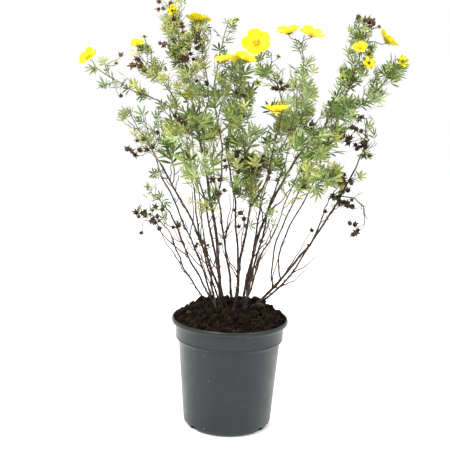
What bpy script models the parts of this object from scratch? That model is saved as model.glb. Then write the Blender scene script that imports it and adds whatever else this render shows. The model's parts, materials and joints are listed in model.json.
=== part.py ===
"""A potted shrubby cinquefoil: a nursery pot of compost, the stems and boughs that rise from it,
and the leafy sprays that they carry. Sizes are in metres, or in millimetres in the tables of
limbs, sprays and blooms. +Z is up, front is -Y, and the origin is the middle of the pot's flat
underside.

Stems and boughs are tapering limbs along curves worked out from a foot, a tip and a bow. Each
spray is one solid: a leader, side shoots round it, and leaves, blooms and seed heads fused on.
A spray keeps to the space nearer to its own leader than to any other, and off every limb.
"""

import math
import random
from typing import NamedTuple

import bmesh
import bpy
import numpy as np
from mathutils import Matrix
from mathutils.bvhtree import BVHTree

CLEARANCE = 0.0003  # between solids that touch on the real plant
MERGE_DISTANCE = 1e-6
FLAT_ANGLE = math.radians(0.3)  # faces nearer to one plane than this are merged

# Pot and compost. Outlines are (radius, height), each from the axis outwards and up.
POT_SIDES = 32
POT_HEIGHT = 0.180
RIM_RADIUS = 0.095
POT_OUTSIDE = (
    (0.0664, 0.0),  # edge of the flat underside
    (0.0706, 0.0036),
    (0.0722, 0.0100),
    (0.08285, 0.1425),  # top of the straight wall
    (0.0882, 0.1462),  # raised ring under the collar
    (0.0872, 0.1490),
    (0.0886, 0.1700),
    (0.0945, 0.1722),  # rolled rim
    (RIM_RADIUS, 0.1752),
    (0.0942, 0.1788),
    (0.0930, POT_HEIGHT),
    (0.0916, 0.1790),
)
POT_INSIDE = (
    (0.0655, 0.0016),
    (0.0694, 0.0048),
    (0.0706, 0.0105),
    (0.0812, 0.1420),
    (0.0856, 0.1475),
    (0.0872, 0.1700),
)
SOIL_GAP = 0.0004  # between the compost and the pot
NOTCH_BEARINGS = (-60, 60, 180)  # degrees round the pot from its front
NOTCH_OFFSETS = (-10.5, 10.5)  # two drainage notches at each bearing, either side of a small foot
NOTCH_SIDES = 12
NOTCH_WIDTH = 0.018
NOTCH_HEIGHT = 0.0085
NOTCH_DEPTH = 0.012
NOTCH_RADIUS = 0.0705  # from the pot's axis to the middle of a notch
CROWN_HEIGHT = 0.195  # flat top of the compost, where the stems stand
CROWN_RADIUS = 0.055
SOIL_SLOPE = ((0.0868, 0.1735), (0.0790, 0.1790), (0.0680, 0.1865))  # from the wall up to the crown
SOIL_RELIEF = 0.0022

# Limbs
LIMB_SIDES = 6
LEADER_SIDES = 4
TWIG_SIDES = 3
RING_SPACING = 0.042
ROOT_FLARE = 1.45  # foot radius against the stem just above it
FLARE_REACH = 0.05  # share of the stem's length that the flare takes
HEADING_PULL = 0.55  # how far a branch sets out square to its limb, not straight to its tip
WANDER = 0.0016  # how far a limb strays from its smooth curve

# Sprays
GOLDEN_ANGLE = math.radians(137.5)
LEADER_RADIUS = (0.0013, 0.0010)  # at its foot and at its tip
SHOOT_RADIUS = (0.0011, 0.0008)
SHOOT_SPLAY = math.radians(52)  # between a shoot and its leader
SHOOT_RISE = 0.175  # how far a shoot's tip turns up, as a share of its length
SHOOT_REACH = (1.05, 0.65)  # length of a shoot at the leader's foot and tip, against the spread
FIRST_SHOOT = 0.16  # share of the leader below its shoots
SHOOT_STRETCH = 0.78  # share of the leader that carries shoots
LEAF_LENGTH = 0.030
LEAF_FINGER_SPREAD = math.radians(46)
LEAF_THICKNESS = 0.0015
SIDE_FINGER_REACH = 0.88  # a side finger against the middle one
LEAF_GAP_REACH = 0.42  # the notch between two fingers against the leaf's length
LEAF_RIDGE_REACH = 0.28
LEAF_SPLAY = 1.0  # radians between a leaf and its twig
END_LEAF_SPLAY = 0.6
LEAF_RISE = 0.15  # how strongly leaves turn up
LEAF_ATTEMPTS = 6
NEXT_TURN = 1.1  # radians a leaf is turned on when it doesn't fit
ATTEMPT_SHRINK = 0.03  # and how much of its length it loses
SHOOT_LEAVES = (0.5, 0.92)  # where along a shoot its leaves stand
LEADER_LEAVES = (0.38, 0.54, 0.7, 0.84, 0.97)
STALK_SHARES = (0.5, 0.66, 0.77, 0.88, 0.97)  # where a bloom's stalk may leave its leader
STALK_DROP = 0.12  # how much lower than the nearest spot it leaves
BLOOM_CUP = 0.12  # depth of the open flower against its radius
BLOOM_THICKNESS = 0.0016
PETAL_OUTLINE = ((-0.5, 0.62), (-0.22, 1.0), (0.22, 1.0))  # (share of a petal's turn, reach)
HEAD_RADIUS = 0.0052
ROOT_REACH = 0.002  # how far a leaf's root may lie in its twig
SPACE_MARGIN = 0.0012  # from a spray's pieces to the border of its space
LIMB_MARGIN = 0.0012  # from a leaf or shoot to a limb's surface

FOLIAGE_GREEN = (0.16, 0.27, 0.07)
BARK_BROWN = (0.12, 0.07, 0.045)
BOUGH_BROWN = (0.17, 0.14, 0.06)
POT_GREY = (0.075, 0.085, 0.09)
SOIL_BROWN = (0.035, 0.022, 0.014)


class Limb(NamedTuple):
    """In millimetres. A stem starts from its foot (x, y) on the compost, a bough from (limb, share)."""

    name: str
    start: tuple
    tip: tuple
    bow: tuple  # how far the middle stands off the straight line
    widths: tuple  # across, at the foot and at the tip


class Spray(NamedTuple):
    """In millimetres."""

    name: str
    start: tuple  # (limb, share of its length), where 1 is the limb's tip
    tip: tuple
    bow: tuple
    spread: float  # radius of its space round the leader
    shoots: int
    heads: int  # dark seed heads among the shoots' tips


class Bloom(NamedTuple):
    """In millimetres."""

    spray: str
    place: tuple
    facing: tuple  # (bearing from the front, elevation) in degrees
    width: float


STEMS = (
    Limb("stem_outer_left", (-40, 26), (-101, 42, 303), (-6, 4, -2), (2.4, 2.0)),
    Limb("stem_low_left", (-26, 10), (-97, -36, 350), (-4, 3, 1), (2.8, 2.0)),
    Limb("stem_long_left", (-8, 6), (-116, -30, 430), (8, -4, 0), (3.6, 2.2)),
    Limb("stem_inner_left", (-17, 26), (-64, 22, 385), (-9, 6, 0), (2.8, 2.0)),
    Limb("stem_tall", (-15, -10), (-66, -6, 506), (8, -11, 0), (5.0, 2.7)),
    Limb("stem_mid_left", (3, 20), (-30, 42, 385), (3, -2, 0), (3.6, 2.2)),
    Limb("stem_mid_back", (11, 37), (-12, 94, 430), (8, -6, 0), (3.4, 2.2)),
    Limb("stem_mid_front", (7, -14), (26, -53, 375), (-2, 4, 0), (4.8, 2.4)),
    Limb("stem_mid_right", (19, 6), (46, 37, 362), (0, -4, 0), (3.6, 2.2)),
    Limb("stem_right_tall", (25, -12), (118, -6, 470), (-21, -2, 14), (4.2, 2.8)),
    Limb("stem_right_long", (37, 6), (190, 2, 425), (6, 20, -22), (4.0, 2.2)),
    Limb("stem_right_low", (46, 22), (150, 52, 345), (10, 4, -14), (3.0, 2.0)),
    Limb("stem_back_left", (-12, 41), (-70, 112, 425), (4, -6, 0), (3.2, 2.0)),
    Limb("stem_back_far_left", (-29, 37), (-122, 82, 395), (6, -4, 2), (2.8, 2.0)),
    Limb("stem_back_right", (28, 34), (88, 112, 425), (-6, -8, 4), (3.2, 2.0)),
    Limb("stem_front_left", (-22, -28), (-45, -90, 335), (0, 10, 0), (3.0, 2.0)),
    Limb("stem_front_right", (20, -34), (64, -94, 345), (-4, 10, 0), (3.0, 2.0)),
)
BOUGHS = (
    Limb("bough_left", ("stem_tall", 0.89), (-106, 0, 516), (-3, 0, 2), (2.2, 2.0)),
    Limb("bough_centre", ("stem_mid_left", 0.95), (-33, 14, 510), (5, 5, 0), (2.2, 2.0)),
    Limb("bough_front", ("stem_mid_front", 0.97), (66, -56, 505), (4, -4, 2), (2.2, 2.0)),
    Limb("bough_right_top", ("stem_right_tall", 1.0), (148, -3, 514), (2, 0, -3), (2.8, 2.3)),
    Limb("bough_right_front", ("stem_right_long", 0.2), (100, -32, 392), (-9, -12, 4), (2.4, 2.0)),
    Limb("bough_right_back", ("stem_right_long", 0.27), (134, 64, 400), (-4, -2, 2), (2.4, 2.0)),
)
SPRAYS = (
    Spray("spray_spire", ("stem_tall", 1.0), (-106, 0, 668), (4, 0, 0), 29, 7, 5),
    Spray("spray_left_flower", ("bough_left", 1.0), (-218, 8, 570), (0, 0, -7), 28, 4, 0),
    Spray("spray_left_upper", ("bough_left", 0.72), (-154, 12, 592), (4, 4, 2), 28, 4, 3),
    Spray("spray_long_left", ("stem_long_left", 1.0), (-170, -14, 512), (0, 0, -2), 27, 4, 2),
    Spray("spray_low_left", ("stem_low_left", 1.0), (-126, -48, 384), (-2, 0, 4), 24, 4, 3),
    Spray("spray_seeds_left", ("stem_outer_left", 1.0), (-146, 40, 340), (0, 0, 6), 26, 5, 5),
    Spray("spray_inner_left", ("stem_inner_left", 1.0), (-108, 32, 512), (-4, 6, 0), 34, 5, 1),
    Spray("spray_left_front", ("stem_long_left", 0.86), (-94, -66, 478), (-4, -6, 0), 34, 5, 1),
    Spray("spray_tall_front", ("stem_tall", 0.667), (-58, -60, 530), (0, -8, -4), 36, 5, 0),
    Spray("spray_top_left", ("stem_tall", 0.97), (-66, 18, 640), (8, 4, -4), 28, 5, 2),
    Spray("spray_centre", ("stem_mid_left", 1.0), (-24, 50, 525), (-6, 4, 0), 38, 5, 1),
    Spray("spray_top_centre", ("bough_centre", 1.0), (-18, 6, 646), (-6, 2, 0), 27, 4, 1),
    Spray("spray_centre_upper", ("bough_centre", 0.78), (6, -26, 570), (2, -4, -6), 32, 5, 1),
    Spray("spray_big_flower", ("bough_front", 1.0), (38, -62, 586), (8, 0, 4), 28, 4, 1),
    Spray("spray_front_right", ("bough_front", 0.66), (86, -92, 552), (8, -10, -4), 32, 5, 2),
    Spray("spray_right_spire", ("stem_right_tall", 0.94), (96, 2, 618), (10, 6, 2), 28, 5, 0),
    Spray("spray_right_top", ("bough_right_top", 1.0), (190, -4, 650), (13, 2, -6), 30, 6, 3),
    Spray("spray_right_far", ("bough_right_top", 0.93), (244, -6, 590), (4, 0, -8), 29, 6, 0),
    Spray("spray_right_mid", ("stem_right_tall", 0.84), (160, -46, 520), (0, -6, -8), 36, 5, 1),
    Spray("spray_right_back", ("bough_right_back", 1.0), (174, 64, 518), (-4, 6, 0), 38, 5, 1),
    Spray("spray_right_front", ("bough_right_front", 1.0), (138, -58, 424), (0, -4, 0), 34, 4, 1),
    Spray("spray_far_right", ("stem_right_long", 1.0), (204, -2, 508), (4, 0, 0), 28, 5, 4),
    Spray("spray_seeds_right", ("stem_right_long", 0.86), (208, -16, 346), (10, -4, 12), 24, 4, 4),
    Spray("spray_right_under", ("stem_right_low", 1.0), (168, 44, 388), (-3, 2, 0), 26, 3, 0),
    Spray("spray_centre_right", ("stem_mid_right", 1.0), (66, 30, 500), (4, 6, 0), 38, 5, 2),
    Spray("spray_centre_low", ("stem_right_tall", 0.52), (14, -18, 414), (-2, -6, 0), 32, 5, 2),
    Spray("spray_front", ("stem_mid_front", 1.0), (4, -94, 506), (0, -4, -2), 36, 6, 1),
    Spray("spray_front_low_left", ("stem_front_left", 1.0), (-70, -146, 468), (4, -6, 0), 36, 5, 2),
    Spray("spray_front_low_right", ("stem_front_right", 1.0), (106, -148, 478), (-4, -6, 0), 36, 5, 2),
    Spray("spray_back_left", ("stem_back_left", 1.0), (-90, 142, 536), (4, 4, 0), 38, 5, 1),
    Spray("spray_back_far_left", ("stem_back_far_left", 1.0), (-156, 94, 492), (2, 4, 0), 34, 5, 2),
    Spray("spray_back", ("stem_mid_back", 1.0), (-4, 120, 566), (4, 8, 0), 40, 6, 1),
    Spray("spray_back_right", ("stem_back_right", 1.0), (112, 146, 540), (-4, 4, 0), 40, 5, 2),
)
BLOOMS = (
    Bloom("spray_left_flower", (-234, 10, 588), (-40, 40), 36),
    Bloom("spray_left_upper", (-157, 6, 610), (-20, 60), 26),
    Bloom("spray_top_left", (-66, 18, 652), (20, 75), 38),
    Bloom("spray_centre_upper", (-22, -36, 588), (-20, 35), 32),
    Bloom("spray_centre_upper", (12, -34, 590), (30, 55), 40),
    Bloom("spray_big_flower", (26, -70, 614), (-8, 30), 46),
    Bloom("spray_right_spire", (76, -2, 634), (-30, 78), 38),
    Bloom("spray_right_spire", (112, 2, 632), (30, 72), 38),
    Bloom("spray_front_right", (62, -78, 520), (10, 45), 36),
    Bloom("spray_right_top", (184, -24, 614), (-15, 40), 30),
    Bloom("spray_right_top", (198, -26, 592), (10, 20), 27),
    Bloom("spray_right_far", (232, 10, 624), (50, 50), 40),
    Bloom("spray_right_far", (252, -12, 596), (15, 25), 27),
    Bloom("spray_right_under", (172, 36, 400), (20, 50), 26),
    Bloom("spray_back", (4, 136, 592), (170, 55), 42),
    Bloom("spray_back_right", (81, 160, 512), (170, 40), 34),
    Bloom("spray_back_left", (-80, 158, 466), (190, 50), 34),
)


def clear_scene():
    for obj in list(bpy.data.objects):
        bpy.data.objects.remove(obj)


def material(name, colour, roughness):
    made = bpy.data.materials.get(name) or bpy.data.materials.new(name)
    made.use_nodes = True
    shader = made.node_tree.nodes["Principled BSDF"]
    shader.inputs["Base Color"].default_value = (*colour, 1.0)
    shader.inputs["Roughness"].default_value = roughness
    shader.inputs["Metallic"].default_value = 0.0
    return made


def add_object(name, work, finish=None):
    """An object from a bmesh, which is used up."""
    mesh = bpy.data.meshes.new(name)
    work.to_mesh(mesh)
    work.free()
    if finish:
        mesh.materials.append(finish)
    obj = bpy.data.objects.new(name, mesh)
    bpy.context.scene.collection.objects.link(obj)
    return obj


def merge_flat_faces(mesh):
    """Takes away the needless edges and points that a Boolean leaves in flat faces."""
    work = bmesh.new()
    work.from_mesh(mesh)
    bmesh.ops.dissolve_limit(work, angle_limit=FLAT_ANGLE, verts=work.verts, edges=work.edges)
    work.to_mesh(mesh)
    work.free()


def boolean(obj, cutters, operation):
    """Joins the cutters to obj, or cuts them from it, in one step, and removes them."""
    group = bpy.data.collections.new(obj.name + " pieces")
    bpy.context.scene.collection.children.link(group)
    for cutter in cutters:
        bpy.context.scene.collection.objects.unlink(cutter)
        group.objects.link(cutter)
    modifier = obj.modifiers.new("joined", "BOOLEAN")
    modifier.operation = operation
    modifier.operand_type = "COLLECTION"
    modifier.collection = group
    bpy.context.view_layer.update()
    graph = bpy.context.evaluated_depsgraph_get()
    result = bpy.data.meshes.new_from_object(obj.evaluated_get(graph))
    result.materials.clear()
    result.materials.append(obj.data.materials[0])
    obj.modifiers.clear()
    obj.data = result
    merge_flat_faces(result)
    for cutter in cutters:
        bpy.data.objects.remove(cutter)
    bpy.data.collections.remove(group)


def turned(profile):
    """A closed solid turned about Z from a profile that starts and ends on the axis."""
    work = bmesh.new()
    points = [work.verts.new((0, -radius, height)) for radius, height in profile]
    edges = [work.edges.new(pair) for pair in zip(points, points[1:])]
    bmesh.ops.spin(work, geom=points + edges, axis=(0, 0, 1), angle=math.tau, steps=POT_SIDES)
    bmesh.ops.remove_doubles(work, verts=work.verts, dist=MERGE_DISTANCE)
    bmesh.ops.recalc_face_normals(work, faces=work.faces)
    return work


def notch_cutter(bearing):
    """An arched drainage notch through the pot's bottom edge, at that bearing from the front."""
    work = bmesh.new()
    turn = Matrix.Rotation(bearing, 4, "Z")
    place = Matrix.Translation((0, -NOTCH_RADIUS, 0)) @ Matrix.Rotation(math.pi / 2, 4, "X")
    half = NOTCH_WIDTH / 2
    bmesh.ops.create_cone(
        work,
        cap_ends=True,
        segments=NOTCH_SIDES,
        radius1=half,
        radius2=half,
        depth=NOTCH_DEPTH,
        matrix=turn @ Matrix.Diagonal((1, 1, NOTCH_HEIGHT / half, 1)) @ place,
    )
    return add_object("notch", work)


def make_pot():
    profile = [(0.0, 0.0), *POT_OUTSIDE, *reversed(POT_INSIDE), (0.0, POT_INSIDE[0][1])]
    pot = add_object("pot", turned(profile), material("pot plastic", POT_GREY, 0.45))
    cutters = []
    for bearing in NOTCH_BEARINGS:
        for offset in NOTCH_OFFSETS:
            cutters.append(notch_cutter(math.radians(bearing + offset)))
    boolean(pot, cutters, "DIFFERENCE")
    pot.data.shade_smooth()
    pot.data.set_sharp_from_angle(angle=math.radians(35))


def make_soil():
    """The compost fills the pot and rises in a lumpy slope to the flat crown under the stems."""
    inside = [(radius - SOIL_GAP, height + SOIL_GAP) for radius, height in POT_INSIDE]
    crown = [(CROWN_RADIUS, CROWN_HEIGHT), (0.0, CROWN_HEIGHT)]
    work = turned([(0.0, inside[0][1]), *inside, *SOIL_SLOPE, *crown])
    lumps = random.Random("compost")
    for vert in work.verts:
        above_wall = vert.co.z > SOIL_SLOPE[0][1] + MERGE_DISTANCE
        if above_wall and vert.co.xy.length > CROWN_RADIUS + MERGE_DISTANCE:
            vert.co.z += SOIL_RELIEF * lumps.uniform(-1, 1)
    add_object("soil", work, material("compost", SOIL_BROWN, 0.95))


def unit(vector):
    return vector / np.linalg.norm(vector)


def metres(millimetres):
    return np.array(millimetres, float) / 1000


def stray(name, share):
    """A limb's small wandering off its smooth curve, nothing at its two ends."""
    rng = random.Random(name)
    off = np.zeros(3)
    for axis in range(3):
        for waves in (1.5, 3.2):
            off[axis] += math.sin(math.tau * (waves * share + rng.random())) / waves
    return off * WANDER * 4 * share * (1 - share)


class Course:
    """A limb's or twig's middle line: rings from its foot at 0 to its tip at 1, straight between."""

    def __init__(self, name, foot, tip, bow, radii, rings=None, heading=None, flare=1.0):
        self.name, self.radii, self.flare, self.heading = name, radii, flare, heading
        foot, tip, bow = (np.array(v, float) for v in (foot, tip, bow))
        chord = tip - foot
        self.length = float(np.linalg.norm(chord))
        leave = foot + chord / 3 + bow * 4 / 3
        if heading is not None:
            setting_out = chord / self.length * (1 - HEADING_PULL) + heading * HEADING_PULL
            leave = foot + setting_out * self.length / 3 + bow
        self.bends = (foot, leave, foot + chord * 2 / 3 + bow * 4 / 3, tip)
        count = rings or max(4, round(self.length / RING_SPACING) + 1)
        self.shares = [i / (count - 1) for i in range(count)]
        if flare > 1:
            self.shares.insert(1, FLARE_REACH)
        self.spots = np.array([self.smooth(share) for share in self.shares])

    def smooth(self, share):
        a, b, c, d = self.bends
        rest = 1 - share
        curve = a * rest**3 + 3 * b * rest**2 * share + 3 * c * rest * share**2 + d * share**3
        return curve + stray(self.name, share)

    def at(self, share):
        return np.array([np.interp(share, self.shares, self.spots[:, axis]) for axis in range(3)])

    def along(self, share):
        step = 0.02
        return unit(self.smooth(min(share + step, 1.0)) - self.smooth(max(share - step, 0.0)))

    def radius(self, share):
        low, high = self.radii
        plain = low + (high - low) * share
        return plain * (1 + (self.flare - 1) * max(0.0, 1 - share / FLARE_REACH) ** 2)


def side_start(course, share, towards):
    """Where a branch leaves a limb: just clear of its side, square to it and heading for its tip."""
    if share >= 1.0:
        heading = course.along(1.0)
        return course.at(1.0) + heading * CLEARANCE, heading
    middle, axis = course.at(share), course.along(share)
    out = towards - middle
    heading = unit(out - axis * out.dot(axis))
    return middle + heading * (course.radius(share) + CLEARANCE), heading


def limb_courses():
    courses = {}
    for limb in STEMS:
        foot = (*metres(limb.start), CROWN_HEIGHT + CLEARANCE)
        sizes = metres(limb.tip), metres(limb.bow), metres(limb.widths) / 2
        courses[limb.name] = Course(limb.name, foot, *sizes, flare=ROOT_FLARE)
    for limb in BOUGHS:
        parent, share = limb.start
        sizes = metres(limb.tip), metres(limb.bow), metres(limb.widths) / 2
        foot, heading = side_start(courses[parent], share, sizes[0])
        courses[limb.name] = Course(limb.name, foot, *sizes, heading=heading)
    return courses


def tube(course, sides):
    """A tapering limb: rings along its course, bridged one to the next, with both ends closed.

    A stem's foot is cut level, and a bough's foot square to the way it leaves.
    """
    work = bmesh.new()
    below = None
    for share, spot in zip(course.shares, course.spots):
        axis = course.along(share)
        if len(course.shares) == 2:
            axis = unit(course.spots[1] - course.spots[0])
        if share == 0.0 and course.heading is not None:
            axis = course.heading
        if share == 0.0 and course.flare > 1:
            axis = np.array((0.0, 0.0, 1.0))
        across = unit(np.cross((0.0, 1.0, 0.0), axis))
        place = Matrix([*zip(across, np.cross(axis, across), axis, spot), (0, 0, 0, 1)])
        ring = bmesh.ops.create_circle(
            work,
            cap_ends=share in (0.0, 1.0),
            segments=sides,
            radius=course.radius(share),
            matrix=place,
        )["verts"]
        edges = list({edge for vert in ring for edge in vert.link_edges})
        if below:
            bmesh.ops.bridge_loops(work, edges=below + edges)
        below = edges
    bmesh.ops.recalc_face_normals(work, faces=work.faces)
    return work


def make_limb(course, finish):
    obj = add_object(course.name, tube(course, LIMB_SIDES), finish)
    obj.data.shade_smooth()
    obj.data.set_sharp_from_angle(angle=math.radians(60))


def frame_of(axis):
    """Two directions square to an axis."""
    guide = np.array((0.0, 0.0, 1.0)) if abs(axis[2]) < 0.9 else np.array((1.0, 0.0, 0.0))
    across = unit(np.cross(guide, axis))
    return across, np.cross(axis, across)


def blade(outline, above, below=None):
    """A thin closed blade: an outline drawn up to a point above it, and down to one below or flat."""
    work = bmesh.new()
    edge = [work.verts.new(point) for point in outline]
    for corners, peak in ((edge, above), (list(reversed(edge)), below)):
        side = work.faces.new(corners)
        if peak is not None:
            poked = bmesh.ops.poke(work, faces=[side])
            poked["verts"][0].co = peak
    return work


def leaf_blade(root, outward, upper, length):
    """A leaf of three fingers spread like a hand, flat below and ridged above, its root in the twig."""
    across = np.cross(upper, outward)

    def spot(turn, reach):
        return root + (outward * math.cos(turn) + across * math.sin(turn)) * reach * length

    outline = [root]
    for finger in (-1, 0, 1):
        outline.append(spot(finger * LEAF_FINGER_SPREAD, 1.0 if finger == 0 else SIDE_FINGER_REACH))
        if finger < 1:
            outline.append(spot((finger + 0.5) * LEAF_FINGER_SPREAD, LEAF_GAP_REACH))
    return blade(outline, root + outward * length * LEAF_RIDGE_REACH + upper * LEAF_THICKNESS)


def bloom_facing(bloom):
    bearing, elevation = (math.radians(angle) for angle in bloom.facing)
    flat = math.cos(elevation)
    return np.array((math.sin(bearing) * flat, -math.cos(bearing) * flat, math.sin(elevation)))


def bloom_disc(bloom):
    """An open flower of five round petals, a shallow cup."""
    facing = bloom_facing(bloom)
    across, upward = frame_of(facing)
    radius = metres(bloom.width) / 2
    place = metres(bloom.place)
    outline = []
    for petal in range(5):
        for offset, reach in PETAL_OUTLINE:
            angle = math.tau * (petal + offset) / 5
            spoke = across * math.cos(angle) + upward * math.sin(angle)
            outline.append(place + spoke * radius * reach + facing * radius * BLOOM_CUP)
    return blade(outline, place + facing * BLOOM_THICKNESS * 0.2, place - facing * BLOOM_THICKNESS)


def seed_head(place, axis):
    """A dry seed head: a small bead of eight faces."""
    across, upward = frame_of(axis)
    work = bmesh.new()
    turn = Matrix([*zip(across, upward, axis, place), (0, 0, 0, 1)])
    bmesh.ops.create_uvsphere(work, u_segments=4, v_segments=2, radius=HEAD_RADIUS, matrix=turn)
    return work


def distance_to_segments(points, heads, tails):
    """The distance from each point to each segment, as a table."""
    run = tails - heads
    share = np.einsum("pij,ij->pi", points[:, None] - heads[None], run) / (run * run).sum(1)
    nearest = heads[None] + np.clip(share, 0, 1)[..., None] * run[None]
    return np.linalg.norm(points[:, None] - nearest, axis=2)


def samples_of(work):
    """A piece's corners and the middles of its edges and faces, enough to test it by points."""
    found = [vert.co for vert in work.verts]
    found += [(edge.verts[0].co + edge.verts[1].co) / 2 for edge in work.edges]
    found += [face.calc_center_median() for face in work.faces]
    return np.array(found)


class Spaces:
    """Where every limb runs, and which space belongs to which spray."""

    def __init__(self, limbs, leaders):
        self.heads, self.tails, self.thick = self.segments(limbs.values(), 16)
        self.spread = {spray.name: metres(spray.spread) for spray in SPRAYS}
        self.lines = {name: self.segments([course], 6) for name, course in leaders.items()}

    @staticmethod
    def segments(courses, count):
        heads, tails, thick = [], [], []
        for course in courses:
            spots = [course.at(i / count) for i in range(count + 1)]
            heads += spots[:-1]
            tails += spots[1:]
            thick += [course.radius(i / count) for i in range(count)]
        return np.array(heads), np.array(tails), np.array(thick)

    def depth(self, name, points):
        """Each point's distance from a spray's leader, as a share of the spray's spread."""
        heads, tails, _ = self.lines[name]
        return distance_to_segments(points, heads, tails).min(1) / self.spread[name]

    def clear_of_limbs(self, points):
        gaps = distance_to_segments(points, self.heads, self.tails) - self.thick[None]
        return gaps.min() > LIMB_MARGIN

    def own(self, name, points):
        """True if all the points lie in this spray's space."""
        mine = self.depth(name, points)
        if mine.max() > 1.0:
            return False
        margin = SPACE_MARGIN / self.spread[name]
        for other in self.lines:
            if other != name and (self.depth(other, points) - mine).min() < margin:
                return False
        return True

    def fits(self, name, points):
        return self.own(name, points) and self.clear_of_limbs(points)


def leader_courses(limbs):
    leaders = {}
    for spray in SPRAYS:
        limb, share = spray.start
        tip, bow = metres(spray.tip), metres(spray.bow)
        foot, heading = side_start(limbs[limb], share, tip)
        leaders[spray.name] = Course(spray.name, foot, tip, bow, LEADER_RADIUS, heading=heading)
    return leaders


def shoot_courses(spray, leader):
    """Side shoots by the golden angle, longest low on the leader, each turning up."""
    for index in range(spray.shoots):
        rng = random.Random(f"{spray.name} shoot {index}")
        share = FIRST_SHOOT + SHOOT_STRETCH * (index + 0.5) / spray.shoots
        axis = leader.along(share)
        across, upward = frame_of(axis)
        turn = index * GOLDEN_ANGLE + rng.uniform(-0.4, 0.4)
        side = across * math.cos(turn) + upward * math.sin(turn)
        splay = SHOOT_SPLAY * rng.uniform(0.8, 1.15)
        heading = axis * math.cos(splay) + side * math.sin(splay)
        low, high = SHOOT_REACH
        length = metres(spray.spread) * (low + (high - low) * share) * rng.uniform(0.85, 1.1)
        foot = leader.at(share)
        tip = foot + heading * length + np.array((0, 0, SHOOT_RISE * length))
        yield index, Course(f"{spray.name} {index}", foot, tip, (0, 0, 0), SHOOT_RADIUS, rings=2)


class Pieces:
    """The pieces of one spray so far. A new one may only touch the twig that carries it."""

    def __init__(self, name, spaces, leader):
        self.name, self.spaces = name, spaces
        self.built, self.trees = [], []
        self.add(leader)

    def add(self, piece):
        self.built.append(piece)
        self.trees.append(BVHTree.FromBMesh(piece))
        return len(self.built) - 1

    def fits(self, piece, carrier, root):
        points = samples_of(piece)
        points = points[np.linalg.norm(points - root, axis=1) > ROOT_REACH]
        if not self.spaces.fits(self.name, points):
            return False
        tree = BVHTree.FromBMesh(piece)
        return not any(tree.overlap(other) for i, other in enumerate(self.trees) if i != carrier)


def leaf_on(course, share, turn, splay):
    axis = course.along(share)
    across, upward = frame_of(axis)
    side = across * math.cos(turn) + upward * math.sin(turn)
    outward = unit(axis * math.cos(splay) + side * math.sin(splay) + np.array((0, 0, LEAF_RISE)))
    upper = unit(axis - outward * axis.dot(outward) + np.array((0.01, 0.02, 0.03)))
    return course.at(share), outward, unit(upper - outward * upper.dot(outward))


def add_leaves(pieces, course, carrier, shares, start_turn):
    """Leaves along a twig by the golden angle. One that would cross anything is turned or left out."""
    turn = start_turn
    for share in shares:
        turn += GOLDEN_ANGLE
        for attempt in range(LEAF_ATTEMPTS):
            length = LEAF_LENGTH * (1.0 - ATTEMPT_SHRINK * attempt)
            splay = END_LEAF_SPLAY if share > 0.9 else LEAF_SPLAY
            root, outward, upper = leaf_on(course, share, turn + attempt * NEXT_TURN, splay)
            leaf = leaf_blade(root, outward, upper, length)
            if pieces.fits(leaf, carrier, root):
                pieces.add(leaf)
                break


def spray_pieces(spray, leader, spaces):
    """The leader's blooms, shoots, seed heads and leaves, each rooted in what carries it."""
    pieces = Pieces(spray.name, spaces, tube(leader, LEADER_SIDES))
    for bloom in (b for b in BLOOMS if b.spray == spray.name):
        place = metres(bloom.place)
        near = min(STALK_SHARES, key=lambda share: np.linalg.norm(leader.at(share) - place))
        foot = leader.at(max(STALK_SHARES[0], near - STALK_DROP))
        under = place - bloom_facing(bloom) * BLOOM_THICKNESS * 0.4
        stalk = Course(f"{bloom.spray} stalk", foot, under, (0, 0, 0), SHOOT_RADIUS, rings=2)
        pieces.add(tube(stalk, TWIG_SIDES))
        pieces.add(bloom_disc(bloom))
    shoots = []
    for index, shoot in shoot_courses(spray, leader):
        twig = tube(shoot, TWIG_SIDES)
        if pieces.fits(twig, 0, shoot.at(0.0)):
            shoots.append((index, shoot, pieces.add(twig)))
    for index, shoot, carrier in shoots[: spray.heads]:
        bead = seed_head(shoot.at(1.0), shoot.along(1.0))
        if pieces.fits(bead, carrier, shoot.at(1.0)):
            pieces.add(bead)
    for index, shoot, carrier in shoots:
        add_leaves(pieces, shoot, carrier, SHOOT_LEAVES, index * 3 * GOLDEN_ANGLE)
    add_leaves(pieces, leader, 0, LEADER_LEAVES, 0.0)
    return pieces.built[1:]


def make_spray(spray, leader, spaces, finish):
    obj = add_object(spray.name, tube(leader, LEADER_SIDES), finish)
    pieces = [add_object(f"{spray.name} piece", piece) for piece in spray_pieces(spray, leader, spaces)]
    boolean(obj, pieces, "UNION")


def main():
    clear_scene()
    make_pot()
    make_soil()
    limbs = limb_courses()
    leaders = leader_courses(limbs)
    spaces = Spaces(limbs, leaders)
    bark = material("bark", BARK_BROWN, 0.85)
    young_bark = material("young bark", BOUGH_BROWN, 0.8)
    for limb in STEMS:
        make_limb(limbs[limb.name], bark)
    for limb in BOUGHS:
        make_limb(limbs[limb.name], young_bark)
    foliage = material("foliage", FOLIAGE_GREEN, 0.7)
    for spray in SPRAYS:
        make_spray(spray, leaders[spray.name], spaces, foliage)


main()
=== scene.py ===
"""The looks of a potted shrubby cinquefoil, in metres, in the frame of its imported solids.

Front is -Y and +Z is up. The tables of limbs, sprays and blooms, and the rule that grows the sprays,
are the source's. They are carried on here to bark, finer twigs, leaves of five fingers, flowers, dry
seed heads and crumbly compost. Geometry Nodes skin the limbs and twigs and set out what repeats.
"""

import json
import math
import random
from typing import NamedTuple

import bmesh
import bpy
import numpy as np
from mathutils import Matrix, Vector, noise

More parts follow.
